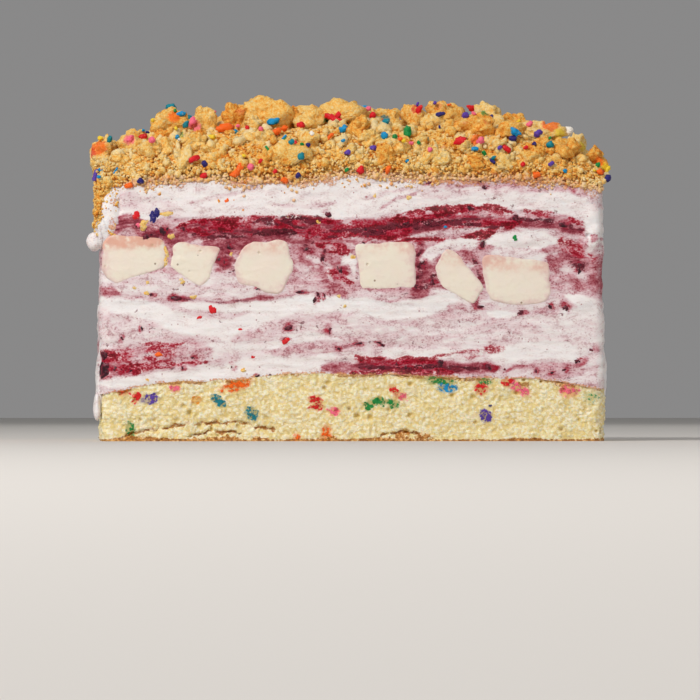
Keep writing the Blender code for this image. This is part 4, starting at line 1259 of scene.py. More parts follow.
# The clumps' centres, sizes and turns, drawn in the same order as the solid's.
def clumpPlaces():
    draw = np.random.default_rng(clumps["seed"])
    places = []
    # the ones that the photo shows
    for x, z, width, height in clumps["front"]:
        x, z, width, height = x * mm, z * mm, width * mm, height * mm
        # the slope is met below the clump's middle, and the clump stands a little back from there
        y = frontDepth(x, z - 0.35 * height) + 0.15 * height
        if y > -halfDepth + clumps["crestDepth"]:
            y += draw.uniform(*clumps["crestScatter"]) * mm
        y = max(y, (width + height) / 4 - clumps["out"] - halfDepth)
        turn = draw.uniform(-0.35, 0.35)
        places.append(restedClump(x, y, z + height / 2, width * clumps["spread"], height, turn))
    # small ones on both slopes, every third one on the back slope
    for index in range(clumps["slopeCount"]):
        x = draw.uniform(-halfWidth + 4 * mm, halfWidth - 4 * mm)
        y = frontDepth(x, draw.uniform(*clumps["slopeHeights"]) * mm)
        size = draw.uniform(*clumps["slopeSize"]) * mm
        y = max(y, size / 2 - clumps["out"] - halfDepth) * (1 if index % 3 else -1)
        places.append(((x, y, moundAt(x, y)), (size, size, size), draw.uniform(0, math.pi)))
    # the ones on top, none nearer to another than the spacing
    taken = np.array([centre[:2] for centre, size, turn in places])
    full = len(places) + clumps["topCount"]
    for _ in range(clumps["tries"]):
        x = draw.uniform(-halfWidth + 3 * mm, halfWidth - 3 * mm)
        y = draw.uniform(-halfDepth + 15 * mm, halfDepth - 4 * mm)
        size = draw.uniform(*clumps["topSize"]) * mm
        squash = draw.uniform(0.4, 0.62)
        turn = draw.uniform(0, math.pi)
        if len(places) < full and np.hypot(*(taken - (x, y)).T).min() > clumps["topSpacing"]:
            taken = np.vstack([taken, (x, y)])
            places.append(restedClump(x, y, moundAt(x, y) + squash * size, size, size * squash, turn))
    return places


# A ball as rings between two poles, its radius a half.
def ballGrid(around, rings):
    high = np.pi * (np.arange(1, rings + 1) / (rings + 1) - 0.5)[:, None]
    turn = fullTurn(around)[None, :]
    x = np.cos(high) * np.cos(turn) * 0.5
    y = np.cos(high) * np.sin(turn) * 0.5
    z = np.sin(high) * 0.5 * np.ones_like(turn)
    points = np.concatenate([np.stack([x, y, z], axis=-1).reshape(-1, 3), [[0, 0, -0.5], [0, 0, 0.5]]])
    quads, triangles = closedFaces(rings, around)
    return points, quads, triangles


# Turn matrices from three angles for each lump: about Z, then X, then Z again.
def turnMatrices(angles):
    matrices = np.tile(np.eye(3), (len(angles), 1, 1))
    for column, axis in ((0, 2), (1, 0), (2, 2)):
        c, s = np.cos(angles[:, column]), np.sin(angles[:, column])
        step = np.tile(np.eye(3), (len(angles), 1, 1))
        a, b = [(1, 2), (2, 0), (0, 1)][axis]
        step[:, a, a], step[:, a, b], step[:, b, a], step[:, b, b] = c, -s, s, c
        matrices = step @ matrices
    return matrices


# Many lumps as one mesh: copies of a ball, each scaled, pushed in and out by noise of its own, turned
# and moved. rough is how deep the noise goes as a share of the size, and grain the height of the
# small crumbs baked into it, with finer ones between them.
def lumpMesh(centres, sizes, angles, around, rings, seed, rough, grain=0.0, grainSize=0.0):
    ball, quads, triangles = ballGrid(around, rings)
    count = len(centres)
    offset = np.arange(count)[:, None, None] * np.array((3.7, 1.3, 2.1))
    unit = np.broadcast_to(ball, (count, *ball.shape))
    push = 1 + rough * roughNoise(unit * 2.6 + offset, 1.0, seed, 3)
    shaped = unit * push[..., None] * sizes[:, None, :]
    if grain:
        direction = ball / np.linalg.norm(ball, axis=1)[:, None]
        for share, further in ((1.0, 9), (0.45, 19)):
            push = grains(shaped + offset * 0.01, grainSize * share, seed + further, 0.75, 1.6, 0.5)
            shaped = shaped + direction * (grain * share * push)[..., None]
    points = np.einsum("nij,nmj->nmi", turnMatrices(angles), shaped) + centres[:, None, :]
    return copiesMesh(points, quads, triangles)


# Whatever would stand out past the slice's foot is drawn back to a quarter of how far it stood out.
def heldIn(points):
    freely = np.array((halfWidth + 2.2 * mm, halfDepth + 0.9 * mm, 1.0))
    past = np.maximum(np.abs(points) - freely, 0)
    return points - np.sign(points) * past * 0.75


# The clumps of the front and the slopes get more rings than the ones on top.
def makeClumps(name, places, detail, seed, material):
    centres = np.array([centre for centre, size, turn in places])
    sizes = np.array([size for centre, size, turn in places])
    draw = np.random.default_rng(seed)
    angles = np.stack([[turn for centre, size, turn in places], draw.uniform(-0.15, 0.15, len(places)),
                       np.zeros(len(places))], axis=1)
    points, quads, triangles, each = lumpMesh(
        centres, sizes, angles, *clumps[detail], seed, clumps["rough"], clumps["grain"],
        clumps["grainSize"])
    browned = draw.uniform(*clumps["tones"], len(places))
    across, down = pixelsAt(points[:, 0], points[:, 2])
    colour, amount = np.ones(points.shape), np.zeros(len(points))
    for spotX, spotY, size, tint in clumps["stains"]:
        away = np.hypot(across - spotX, down - spotY) / size
        cover = (points[:, 1] < 0) * (1 - smoothStep(away, 0.3, 1.6))
        colour, amount = stained(colour, amount, cover, linear(tints[tint]))
    return makePiece(name, heldIn(points), quads, triangles, material,
                     fields={"tone": np.repeat(browned, each), "stain": colour, "stained": amount})


heapLook = {
    # rings up the foot and over the mound, which gather at the edge, and columns along the front, an
    # end, the back and a corner
    "footRings": 8,
    "moundRings": 62,
    "gather": 1.25,
    "reach": 39.8 * mm,
    "setBack": 0.8 * mm,
    "columns": (300, 100, 220, 8),
    "rough": 0.6 * mm,
    # crumbs of three sizes: size, height and seed
    "grains": ((3.4 * mm, 0.9 * mm, 53), (1.7 * mm, 0.55 * mm, 54), (0.9 * mm, 0.25 * mm, 55)),
}


# The heap under the clumps: rings from the cream's edge up over the mound to its middle line, pushed
# out by crumbs of three sizes.
def makeHeap(material):
    first = heapLook["footRings"]
    over = np.linspace(0, 1, heapLook["moundRings"]) ** heapLook["gather"] * heapLook["reach"]
    inward = np.concatenate([np.zeros(first), over]) + heapLook["setBack"]
    places = outline(mound["insets"], inward, heapLook["columns"])[0]
    x, y = places[..., 0], places[..., 1]
    low = creamEdge(x[0], y[0])
    uneven = roughNoise(np.stack([x, y, y * 0], axis=-1), 9 * mm, 52, 2)
    z = moundHeight(x, y)[0] + heapLook["rough"] * uneven
    z[:first] = low + (z[first] - low) * np.linspace(0, 1, first + 1)[:first, None]
    points = np.stack([x, y, z], axis=-1)
    along = np.roll(points, -1, axis=1) - np.roll(points, 1, axis=1)
    out = np.cross(along, np.gradient(points, axis=0))
    out = out / np.maximum(np.linalg.norm(out, axis=-1), 1e-9)[..., None]
    push = sum(tall * grains(points, size, seed, 0.6, 1.2, 0.4) for size, tall, seed in heapLook["grains"])
    # the lowest ring stays where it is, and the two above it move less
    points = points + out * (push * smoothStep(np.arange(len(inward)), 0, 3)[:, None])[..., None]
    # painted shade: the tone rises where the grains push out least, in the hollows between them
    tone = 0.35 + 0.25 * roughNoise(points, 6 * mm, 56, 3) + 0.8 * np.clip(0.1 - push / mm, 0, 0.8)
    poles = np.array([[0, 0, low.mean() - 1 * mm], [0, 0, points[-1, :, 2].mean()]])
    quads, triangles = closedFaces(*x.shape)
    points = np.concatenate([points.reshape(-1, 3), poles])
    return makePiece("crumbleHeap", points, quads, triangles, material, replaced=("crumble",),
                     fields={"tone": np.append(tone, [0.5, 0.5]), **creamStainAndPaintedLight(points)})


# Loose crumbs: how many over the heap, at its lower edges and on the left wall's coat, their sizes in
# mm, columns and rings, how rough they are, and the share of its size that one at the edge keeps.
crumbs = {
    "medium": {"name": "crumbleCrumbs", "count": 1900, "edge": 12, "wall": 26, "size": (1.5, 4.2),
               "detail": (8, 5), "rough": 0.62, "low": 0.6},
    "fine": {"name": "crumbleFines", "count": 14500, "edge": 1300, "wall": 900, "size": (0.6, 1.3),
             "detail": (5, 3), "rough": 0.35, "low": 1.0},
    "gather": 1.9,  # higher makes more of them small
    "slopeShare": 0.66,
    "lift": (-0.3, 0.35),
    "smaller": (2 * mm, 13 * mm),  # above the cream's edge, where the small ones give way to the others
    # a cream stain on crumbs near the cream's edge, made pale as painted light
    "touched": 0.44,
    "touchTintAndPaintedLight": (248, 204, 174),
    "edgeDrop": 0.8 * mm,  # how far below the cream's edge the crumbs on the cut faces thin out
}


# Whatever lies past the slice's rounded corners is drawn in to their quarter circles.
def roundedCorners(points, proud):
    middle = np.array((halfWidth, halfDepth)) - cake["corner"]
    over = np.abs(points[..., :2]) - middle
    away = np.maximum(np.hypot(over[..., 0], over[..., 1]), 1e-9)
    held = np.where((over > 0).all(axis=-1), np.minimum(1, (cake["corner"] + proud) / away), 1)
    points[..., :2] = np.sign(points[..., :2]) * (middle + over * held[..., None])
    return points


# Places scattered over the mound: more on the two cut faces' slopes, which are steep, than on top.
def moundScatter(count, draw, slopeShare):
    onSlope = draw.random(count) < slopeShare
    depth = np.where(onSlope, draw.random(count) ** 1.5 * mound["slope"],
                     mound["slope"] + draw.random(count) * (halfDepth - mound["slope"]))
    back = draw.random(count) < 0.42
    y = np.where(back, 1, -1) * (halfDepth - depth)
    x = draw.uniform(-halfWidth - 0.5 * mm, halfWidth + 0.3 * mm, count)
    onFace = onSlope & (draw.random(count) < 0.18)
    y = np.where(onFace, np.sign(y) * halfDepth, y)
    x, y = roundedCorners(np.stack([x, y], axis=-1), 0.3 * mm).T
    height = moundHeight(x, y)[0]
    foot = creamEdge(x, y)
    z = np.where(onFace, foot + (height - foot) * draw.random(count), height)
    return np.stack([x, y, z], axis=-1)


# Crumbs stuck to the cut faces just below the heap, in clusters.
def edgeScatter(count, draw):
    x = draw.uniform(-halfWidth + 2 * mm, halfWidth - 1 * mm, count)
    y = np.where(draw.random(count) < 0.4, 1, -1) * halfDepth
    places = np.stack([x, y, x * 0], axis=-1)
    drop = np.clip(0.6 + 1.4 * roughNoise(places, 9 * mm, 66), 0.1, 2)
    drop = drop * draw.exponential(crumbs["edgeDrop"], count)
    z = creamEdge(x, y) + 0.4 * mm - drop
    return roundedCorners(np.stack([x, y * 0.997, z], axis=-1), 0)


# Crumbs on the left wall's coat, on its end and round its front and back edges.
def wallScatter(count, draw):
    z = draw.uniform(coat["low"] - 2 * mm, coat["high"] + 2 * mm, count)
    y = draw.uniform(-1, 1, count) * (halfDepth - 0.6 * mm)
    onEdge = draw.random(count) < 0.35
    beside = draw.uniform(coat["outer"], coat["inner"] + 1 * mm, count)
    x = np.where(onEdge, beside, coat["outer"] - 0.1 * mm)
    y = np.where(onEdge, np.sign(y) * (halfDepth - 0.3 * mm), y)
    return np.stack([x, y, z], axis=-1)


def aboveCream(points):
    return points[:, 2] - creamEdge(points[:, 0], points[:, 1])


# Crumbs near the cream's upper edge have taken up some of it, in a pink pale enough to be painted light as
# well, lifting the shade under the heap's overhang.
def creamStainAndPaintedLight(points):
    amount = crumbs["touched"] * (1 - smoothStep(aboveCream(points), 0.0, 5 * mm))
    amount = amount * smoothStep(points[:, 0], -78 * mm, -72 * mm)
    return {"stain": np.broadcast_to(linear(crumbs["touchTintAndPaintedLight"]), points.shape), "stained": amount}


# Loose crumbs of one kind, scattered over the heap, its lower edges and the left wall's coat.
def makeCrumbs(kind, seed, material):
    style = crumbs[kind]
    draw = np.random.default_rng(seed)
    onHeap = style["count"]
    centres = np.concatenate([moundScatter(onHeap, draw, crumbs["slopeShare"]),
                              edgeScatter(style["edge"], draw), wallScatter(style["wall"], draw)])
    count = len(centres)
    least, most = style["size"]
    size = draw.uniform(0, 1, count) ** crumbs["gather"] * (most - least) + least
    # the crumbs low on the heap are smaller than those near its top
    full = smoothStep(aboveCream(centres), *crumbs["smaller"])
    size = size * (style["low"] + (1 - style["low"]) * full)
    sizes = size[:, None] * mm * draw.uniform(0.8, 1.2, (count, 3))
    lift = draw.uniform(*crumbs["lift"], onHeap)
    centres[:onHeap, 2] += size[:onHeap] * mm * lift
    angles = draw.uniform(0, 2 * np.pi, (count, 3))
    points, quads, triangles, each = lumpMesh(
        centres, sizes, angles, *style["detail"], seed, style["rough"])
    tone = np.clip(draw.normal(0.38, 0.12, count) + 0.16 * roughNoise(centres, 7 * mm, 67), 0, 1)
    # painted shade: crumbs sunk deeper into the heap get a browner tone
    tone[:onHeap] += 0.4 * (0.1 - lift)
    # painted shade: a crumb's underside gets a browner tone than its top
    below = (np.repeat(centres[:, 2], each) - points[:, 2]) / np.repeat(size * mm, each)
    return makePiece(style["name"], heldIn(points), quads, triangles, material,
                     fields={"tone": np.repeat(tone, each) + 0.4 * below, **creamStainAndPaintedLight(points)})


# The crumb coat on the left wall: an upright slab with a rounded section, swept along the wall and
# covered in grains.
coat = {
    "low": 67 * mm,
    "high": 87 * mm,
    "inner": -76.0 * mm,
    "outer": -82.0 * mm,
    "rows": 120,
    "columns": 84,
    "swing": 2.2 * mm,
    "swingLength": 7 * mm,
    # crumbs of two sizes: size, height and seed
    "grains": ((3.6 * mm, 1.0 * mm, 57), (1.7 * mm, 0.6 * mm, 58)),
}


def makeCoat(material):
    t = np.linspace(-1, 1, coat["rows"])[:, None]
    angle = fullTurn(coat["columns"])[None, :]
    y = t * (halfDepth - 0.6 * mm) * np.ones_like(angle)
    low = coat["low"] + coat["swing"] * np.sin(y / coat["swingLength"])
    middle, tall = (coat["high"] + low) / 2, (coat["high"] - low) / 2
    rounding = np.clip((1 - np.abs(t)) * 14, 0.02, 1) ** 0.5
    c, s = np.cos(angle), np.sin(angle)
    thick = (coat["inner"] - coat["outer"]) / 2
    x = (coat["inner"] + coat["outer"]) / 2 + thick * np.sign(c) * np.abs(c) ** 0.35
    z = middle + tall * np.sign(s) * np.abs(s) ** 0.45 * (0.8 + 0.2 * rounding)
    points = np.stack([x * np.ones_like(t), y, z], axis=-1)
    push = sum(height * grains(points, size, seed, 0.6, 1.3, 0.4) for size, height, seed in coat["grains"])
    outward = np.stack([c * np.ones_like(t), np.zeros_like(y), s * np.ones_like(t)], axis=-1)
    points = points + outward * push[..., None]
    poles = np.stack([points[0].mean(axis=0), points[-1].mean(axis=0)])
    quads, triangles = closedFaces(coat["rows"], coat["columns"])
    # painted shade: the tone rises in the hollows between the grains
    tone = 0.32 + 0.25 * roughNoise(points, 6 * mm, 59, 3) + 0.35 * np.clip(-push / mm, 0, 1)
    return makePiece("wallCrumbs", np.concatenate([points.reshape(-1, 3), poles]), quads[:, ::-1],
                     triangles[:, ::-1], material,
                     fields={"tone": np.append(tone, [0.5, 0.5])})


# Baked crumbs: pale to brown with the tone, browner in the crevices between grains as painted shade, and
# stained where a sprinkle or the cream touched them; the cream's stain is pale enough to be painted light
# as well.
def crumbPaint():
    paint = Paint("bakedCrumb", Specular_IOR_Level=0.08)
    fine = paint.cloud(paint.stretched(1500, 1500, 1500), detail=4, roughness=0.7)
    wide = paint.cloud(paint.stretched(260, 260, 260), detail=3)
    bent = paint.pushed(paint.stretched(820, 820, 820), fine * 1.2, wide * 1.5)
    grain = paint.cells(bent)
    small = paint.cells(bent, scale=2.3)
    tone = paint.field("tone") + (wide - 0.5) * 0.6 + (fine - 0.5) * 0.6
    # painted shade: the tone rises in the crevices between the grains
    tone = tone + (grain - 0.52) * 0.4 + (small - 0.52) * 0.5
    colour = paint.ramp(tone, (
        (0.0, (247, 224, 170)), (0.32, (248, 208, 124)), (0.58, (243, 177, 78)),
        (0.80, (230, 138, 50)), (1.0, (176, 82, 24))))
    # here and there a crumb has taken up a sprinkle's colour
    tintPlace = paint.stretched(140, 140, 140)
    tinted = (paint.cells(tintPlace) - (fine - 0.5) * 0.4).between(0.26, 0.06)
    tinted = tinted * paint.cellOwn(tintPlace).between(0.14, 0.10)
    colour = paint.mix(tinted * 0.5, colour, (228, 118, 84))
    ragged = 1.1 + (fine - 0.5) * 2.0 + (0.35 - grain) * 1.2
    amount = (paint.field("stained") * ragged).between(0.15, 0.6)
    colour = paint.mix(amount * 0.8, colour, paint.field("stain", "Color"))
    paint.relief(fine * 0.6 - grain * 0.8 - small * 0.7, 0.0010, 0.55)
    return paint.finish(colour, 0.8 - fine * 0.15)


sprinkles = {
    "length": 5.4,
    "radius": 0.92,
    # on the crumble as the photo shows them: pixel place, turn in degrees, length and radius in mm,
    # and colour
    "front": (
        (184, 110, 10, 3, 0.9, "blue"), (188, 121, 70, 2.6, 1, "teal"), (194, 119, 80, 3.2, 1, "pink"),
        (226, 126, 4, 5.4, 1.25, "orange"), (146, 132, 5, 3, 0.95, "red"),
        (132, 136, 40, 2.4, 0.9, "pink"), (112, 135, 80, 2.4, 0.7, "teal"),
        (98, 175, 75, 3.6, 0.7, "purple"), (101, 177, 0, 1.4, 0.6, "blue"),
        (276, 118, 12, 3.8, 1.2, "blue"), (277, 130, 0, 2.6, 1.3, "orange"),
        (285, 126, 40, 2.4, 1, "orange"), (301, 123, 0, 2.6, 1.1, "red"),
        (333, 115, -28, 5.6, 1.05, "red"), (340, 111, 60, 2.6, 1, "red"), (343, 127, 10, 3, 1.1, "blue"),
        (290, 142, 30, 2.2, 0.9, "teal"), (205, 164, 70, 2.2, 1.1, "navy"), (194, 159, 25, 3.4, 1, "red"),
        (237, 171, 48, 5.6, 1.15, "orange"), (250, 166, 70, 2.2, 1, "pink"), (204, 175, 20, 2.6, 1, "red"),
        (300, 156, 60, 2.6, 1, "teal"), (346, 152, 30, 2, 0.9, "purple"), (297, 175, 40, 1.8, 0.8, "navy"),
        (142, 181, 0, 1.8, 0.9, "navy"), (284, 180, 0, 2.2, 1, "orange"),
        (130, 185, 10, 2.4, 0.8, "orange"), (374, 113, 80, 3.2, 0.9, "red"),
        (383, 134, 0, 2.4, 1.1, "blue"), (386, 119, 20, 2.6, 0.9, "teal"),
        (407, 130, 80, 3.8, 1.2, "green"), (422, 104, 60, 3.2, 0.9, "red"),
        (469, 110, 10, 3, 1.2, "purple"), (458, 139, 8, 3.6, 1.2, "red"),
        (514, 130, -30, 3.4, 1.2, "blue"), (512, 137, 0, 2.6, 0.9, "navy"),
        (539, 130, 30, 3, 1.1, "purple"), (532, 119, 20, 2.2, 0.8, "pink"), (549, 142, 0, 2.4, 1, "teal"),
        (572, 126, 70, 2.8, 1.3, "white"), (504, 147, -20, 3.2, 0.9, "red"),
        (497, 146, 60, 1.8, 0.8, "purple"), (359, 169, 70, 3, 1.1, "red"),
        (534, 173, 15, 2.6, 1.1, "orange"), (562, 169, 0, 1.6, 0.8, "blue"),
        (598, 162, 80, 2.2, 0.9, "green"), (608, 167, 60, 3.6, 0.9, "yellow"),
        (605, 176, 70, 2.4, 0.9, "navy"), (598, 170, 0, 2, 1, "orange"), (372, 147, 0, 2.4, 0.7, "purple"),
        (394, 135, 30, 1.6, 0.8, "green"), (523, 146, 20, 2, 0.7, "red"), (386, 168, 60, 3, 0.8, "orange"),
        (260, 161, 60, 1.8, 0.6, "red"), (274, 171, 30, 1.6, 0.7, "red"), (248, 126, 0, 1.6, 0.8, "red"),
        (213, 136, 0, 2.4, 0.9, "yellow"), (178, 136, 50, 1.6, 0.7, "blue"),
        (345, 169, 30, 1.8, 0.6, "green"), (428, 149, 0, 1.6, 0.8, "pink"), (479, 139, 30, 3, 1.1, "pink"),
        (473, 147, 0, 2.4, 0.7, "blue"), (153, 140, 0, 1.8, 1.1, "pink"), (520, 163, 70, 1.8, 0.8, "red"),
        (405, 160, 0, 1.4, 0.7, "blue"),
    ),
    "topCount": 20,
    "topShares": (0.6, 1.0),  # of the length
    "seed": 8,
    # broken bits: how many, and their lengths and radii in mm
    "dots": 150,
    "dotLengths": (0.8, 2.6),
    "dotRadii": (0.35, 0.8),
    "around": 10,
    "along": 11,
    "lumps": 0.42,
}


# Rods: rings along an axis, round at both ends, each one stretched, turned and moved.
def rodMesh(centres, lengths, radii, matrices, seed):
    t = np.linspace(-1, 1, sprinkles["along"] + 2)[1:-1][:, None]
    turn = fullTurn(sprinkles["around"])[None, :]
    count = len(centres)
    half = np.maximum(lengths / 2, radii * 1.02)[:, None, None]
    radius = radii[:, None, None]
    x = half * np.sin(t * np.pi / 2)[None]
    over = np.clip((np.abs(x) - (half - radius)) / radius, 0, 1)
    ring = radius * np.sqrt(np.maximum(1 - over ** 2, 0.0004))
    points = np.stack([x * np.ones_like(turn), ring * np.cos(turn), ring * np.sin(turn)], axis=-1)
    offset = np.arange(count)[:, None, None, None] * np.array((5.1, 2.3, 1.9))
    lump = 1 + sprinkles["lumps"] * roughNoise(points / mm + offset, 1.1, seed, 2)
    points = (points * lump[..., None]).reshape(count, -1, 3)
    poles = half * np.array(((-1, 0, 0), (1, 0, 0)))
    points = np.concatenate([points, poles], axis=1)
    points = np.einsum("nij,nmj->nmi", matrices, points) + centres[:, None, :]
    return copiesMesh(points, *closedFaces(sprinkles["along"], sprinkles["around"]))


# The rod sprinkles that the photo shows, the ones strewn over the top, and broken bits everywhere on
# the heap: a centre, three angles, a length, a radius and a colour each.
def makeSprinkles(material, surface):
    draw = np.random.default_rng(sprinkles["seed"])
    names = [name for name in tints if name != "amber"]
    raised = surface * (1, 1, -1)
    rods = []
    for pixelX, pixelY, turn, length, radius, tint in sprinkles["front"]:
        x, z = placeAt(pixelX, pixelY)
        rods.append(((x, nearestAt(surface, (x, z), (0, 2), 1) + 0.25 * radius * mm, z),
                     (0.0, math.radians(-turn), draw.uniform(-0.3, 0.3)), length * mm, radius * mm,
                     linear(tints[tint])))
    for _ in range(sprinkles["topCount"]):
        x = draw.uniform(-halfWidth + 6 * mm, halfWidth - 6 * mm)
        y = draw.uniform(-halfDepth + 16 * mm, halfDepth - 8 * mm)
        turn = draw.uniform(0, math.pi)
        rods.append(((x, y, -nearestAt(raised, (x, y), (0, 1), 2) + 0.4 * mm),
                     (turn, draw.uniform(-0.2, 0.2), 0.0),
                     sprinkles["length"] * mm * draw.uniform(*sprinkles["topShares"]),
                     sprinkles["radius"] * mm, linear(tints[names[draw.integers(len(names))]])))
    for x, y, _ in moundScatter(sprinkles["dots"], draw, 0.5):
        rods.append(((x, y, -nearestAt(raised, (x, y), (0, 1), 2) + 0.2 * mm),
                     (draw.uniform(0, 6), draw.uniform(-1, 1), draw.uniform(-1, 1)),
                     draw.uniform(*sprinkles["dotLengths"]) * mm, draw.uniform(*sprinkles["dotRadii"]) * mm,
                     linear(tints[names[draw.integers(len(names))]])))
    centres, angles, lengths, radii, colours = [np.array(part) for part in zip(*rods)]
    # each is tilted about Y by its second angle, then turned about Z by the other two together
    matrices = np.empty((len(rods), 3, 3))
    cz, sz = np.cos(angles[:, 0] + angles[:, 2]), np.sin(angles[:, 0] + angles[:, 2])
    cy, sy = np.cos(angles[:, 1]), np.sin(angles[:, 1])
    matrices[:, 0] = np.stack([cz * cy, -sz, cz * sy], axis=-1)
    matrices[:, 1] = np.stack([sz * cy, cz, sz * sy], axis=-1)
    matrices[:, 2] = np.stack([-sy, np.zeros_like(sy), cy], axis=-1)
    points, quads, triangles, each = rodMesh(centres, lengths, radii, matrices, 81)
    return makePiece("crumbleSprinkles", points, quads, triangles, material,
                     fields={"tint": np.repeat(colours, each, axis=0)})


# The smallest coordinate along one axis among the surface's points near a place across the other two.
def nearestAt(surface, place, axes, along):
    away = np.hypot(surface[:, axes[0]] - place[0], surface[:, axes[1]] - place[1])
    return float(np.min(surface[away < max(0.8 * mm, away.min() * 1.01), along]))


def pointsOf(pieces):
    found = []
    for piece in pieces:
        points = np.empty(len(piece.data.vertices) * 3, np.float32)
        piece.data.vertices.foreach_get("co", points)
        found.append(points.reshape(-1, 3))
    return np.concatenate(found)


# Sprinkles in their own colours, with grains of sugar and crumb on them.
def sprinklePaint():
    paint = Paint("sugarSprinkle", Specular_IOR_Level=0.3)
    fine = paint.cloud(paint.stretched(1600, 1600, 1600), detail=3)
    colour = paint.mix(fine.between(0.58, 0.8) * 0.4, paint.field("tint", "Color"), (244, 214, 170))
    paint.relief(fine, 0.0006, 0.7)
    return paint.finish(colour, 0.42 + fine * 0.15)


# Melted cream on the end walls: tongues like the solid's, each with a round drop at its foot, and smears
# and drops at the upper left.
drips = {
    # which end, middle along Y, foot and half width in mm
    "tongues": (
        (-1, -35, 8, 4), (-1, -10, 12, 4.6), (-1, 20, 9.4, 4.4), (1, -34, 13, 3.8), (1, -4, 10.6, 4.6),
        (1, 25, 12.4, 4.2),
    ),
    "top": 34 * mm,
    "thick": 1.4 * mm,
    # ellipsoids: middle and half sizes in mm
    "blobs": (
        (-82.6, -38.6, 63.3, 2.4, 2.7, 3.1), (-80.6, -38.6, 66.5, 1.5, 2.6, 5.5),
        (-77.6, -40, 72, 3.2, 1.35, 7), (-79.6, -39.7, 66.5, 2.6, 1.5, 5), (-75.8, -40, 78.5, 2, 1, 3.6),
        (-81.6, -37.8, 11, 1.2, 3, 4.5),
    ),
    "detail": (30, 36),
    "lumps": 0.3 * mm,
    # the smears that crumbs stick to: above a height, and within a reach of a place along X
    "gritty": (60 * mm, -76 * mm, 4.5 * mm),
    "berryShare": 0.4,
}


# Tongues and drops are balls drawn out. A tongue has a fuller drop near its foot and a narrower waist
# above it, and it sinks into the wall towards its head.
def makeDrips(material):
    ball, quads, triangles = ballGrid(*drips["detail"])
    unit = ball * 2
    shapes = []
    for end, y, lowest, radius in drips["tongues"]:
        middle, half = (drips["top"] + lowest * mm) / 2, (drips["top"] - lowest * mm) / 2
        drop = 1 + 0.28 * np.exp(-((unit[:, 2] + 0.72) / 0.2) ** 2)
        narrow = 1 - 0.2 * np.exp(-((unit[:, 2] + 0.2) / 0.35) ** 2)
        points = np.stack([unit[:, 0] * drips["thick"] * drop, unit[:, 1] * radius * mm * drop * narrow,
                           unit[:, 2] * half], axis=-1)
        sunk = (0.25 + 0.65 * smoothStep(unit[:, 2], -0.3, 1.0)) * drips["thick"]
        x = end * (halfWidth - sunk)
        shapes.append(points + np.stack([x, x * 0 + y * mm, x * 0 + middle], axis=-1))
    for blob in drips["blobs"]:
        shapes.append(unit * np.array(blob[3:]) * mm + np.array(blob[:3]) * mm)
    direction = ball / np.linalg.norm(ball, axis=1)[:, None]
    for index, points in enumerate(shapes):
        push = drips["lumps"] * roughNoise(points, 4 * mm, 90 + index, 3)
        shapes[index] = points + direction * push[:, None]
    points, quads, triangles, _ = copiesMesh(np.array(shapes), quads, triangles)
    lowest, middle, reach = drips["gritty"]
    smears = (points[:, 2] > lowest) * (np.abs(points[:, 0] - middle) < reach)
    grit = smears * smoothStep(roughNoise(points, 3.2 * mm, 89, 2), 0.0, 0.7)
    plain = np.zeros(len(points))
    berry = drips["berryShare"] * marbleFields(points)["berry"]
    return makePiece("creamDrips", points, quads, triangles, material,
                     fields={"berry": berry, "juice": plain, "pulp": plain, "dust": grit})


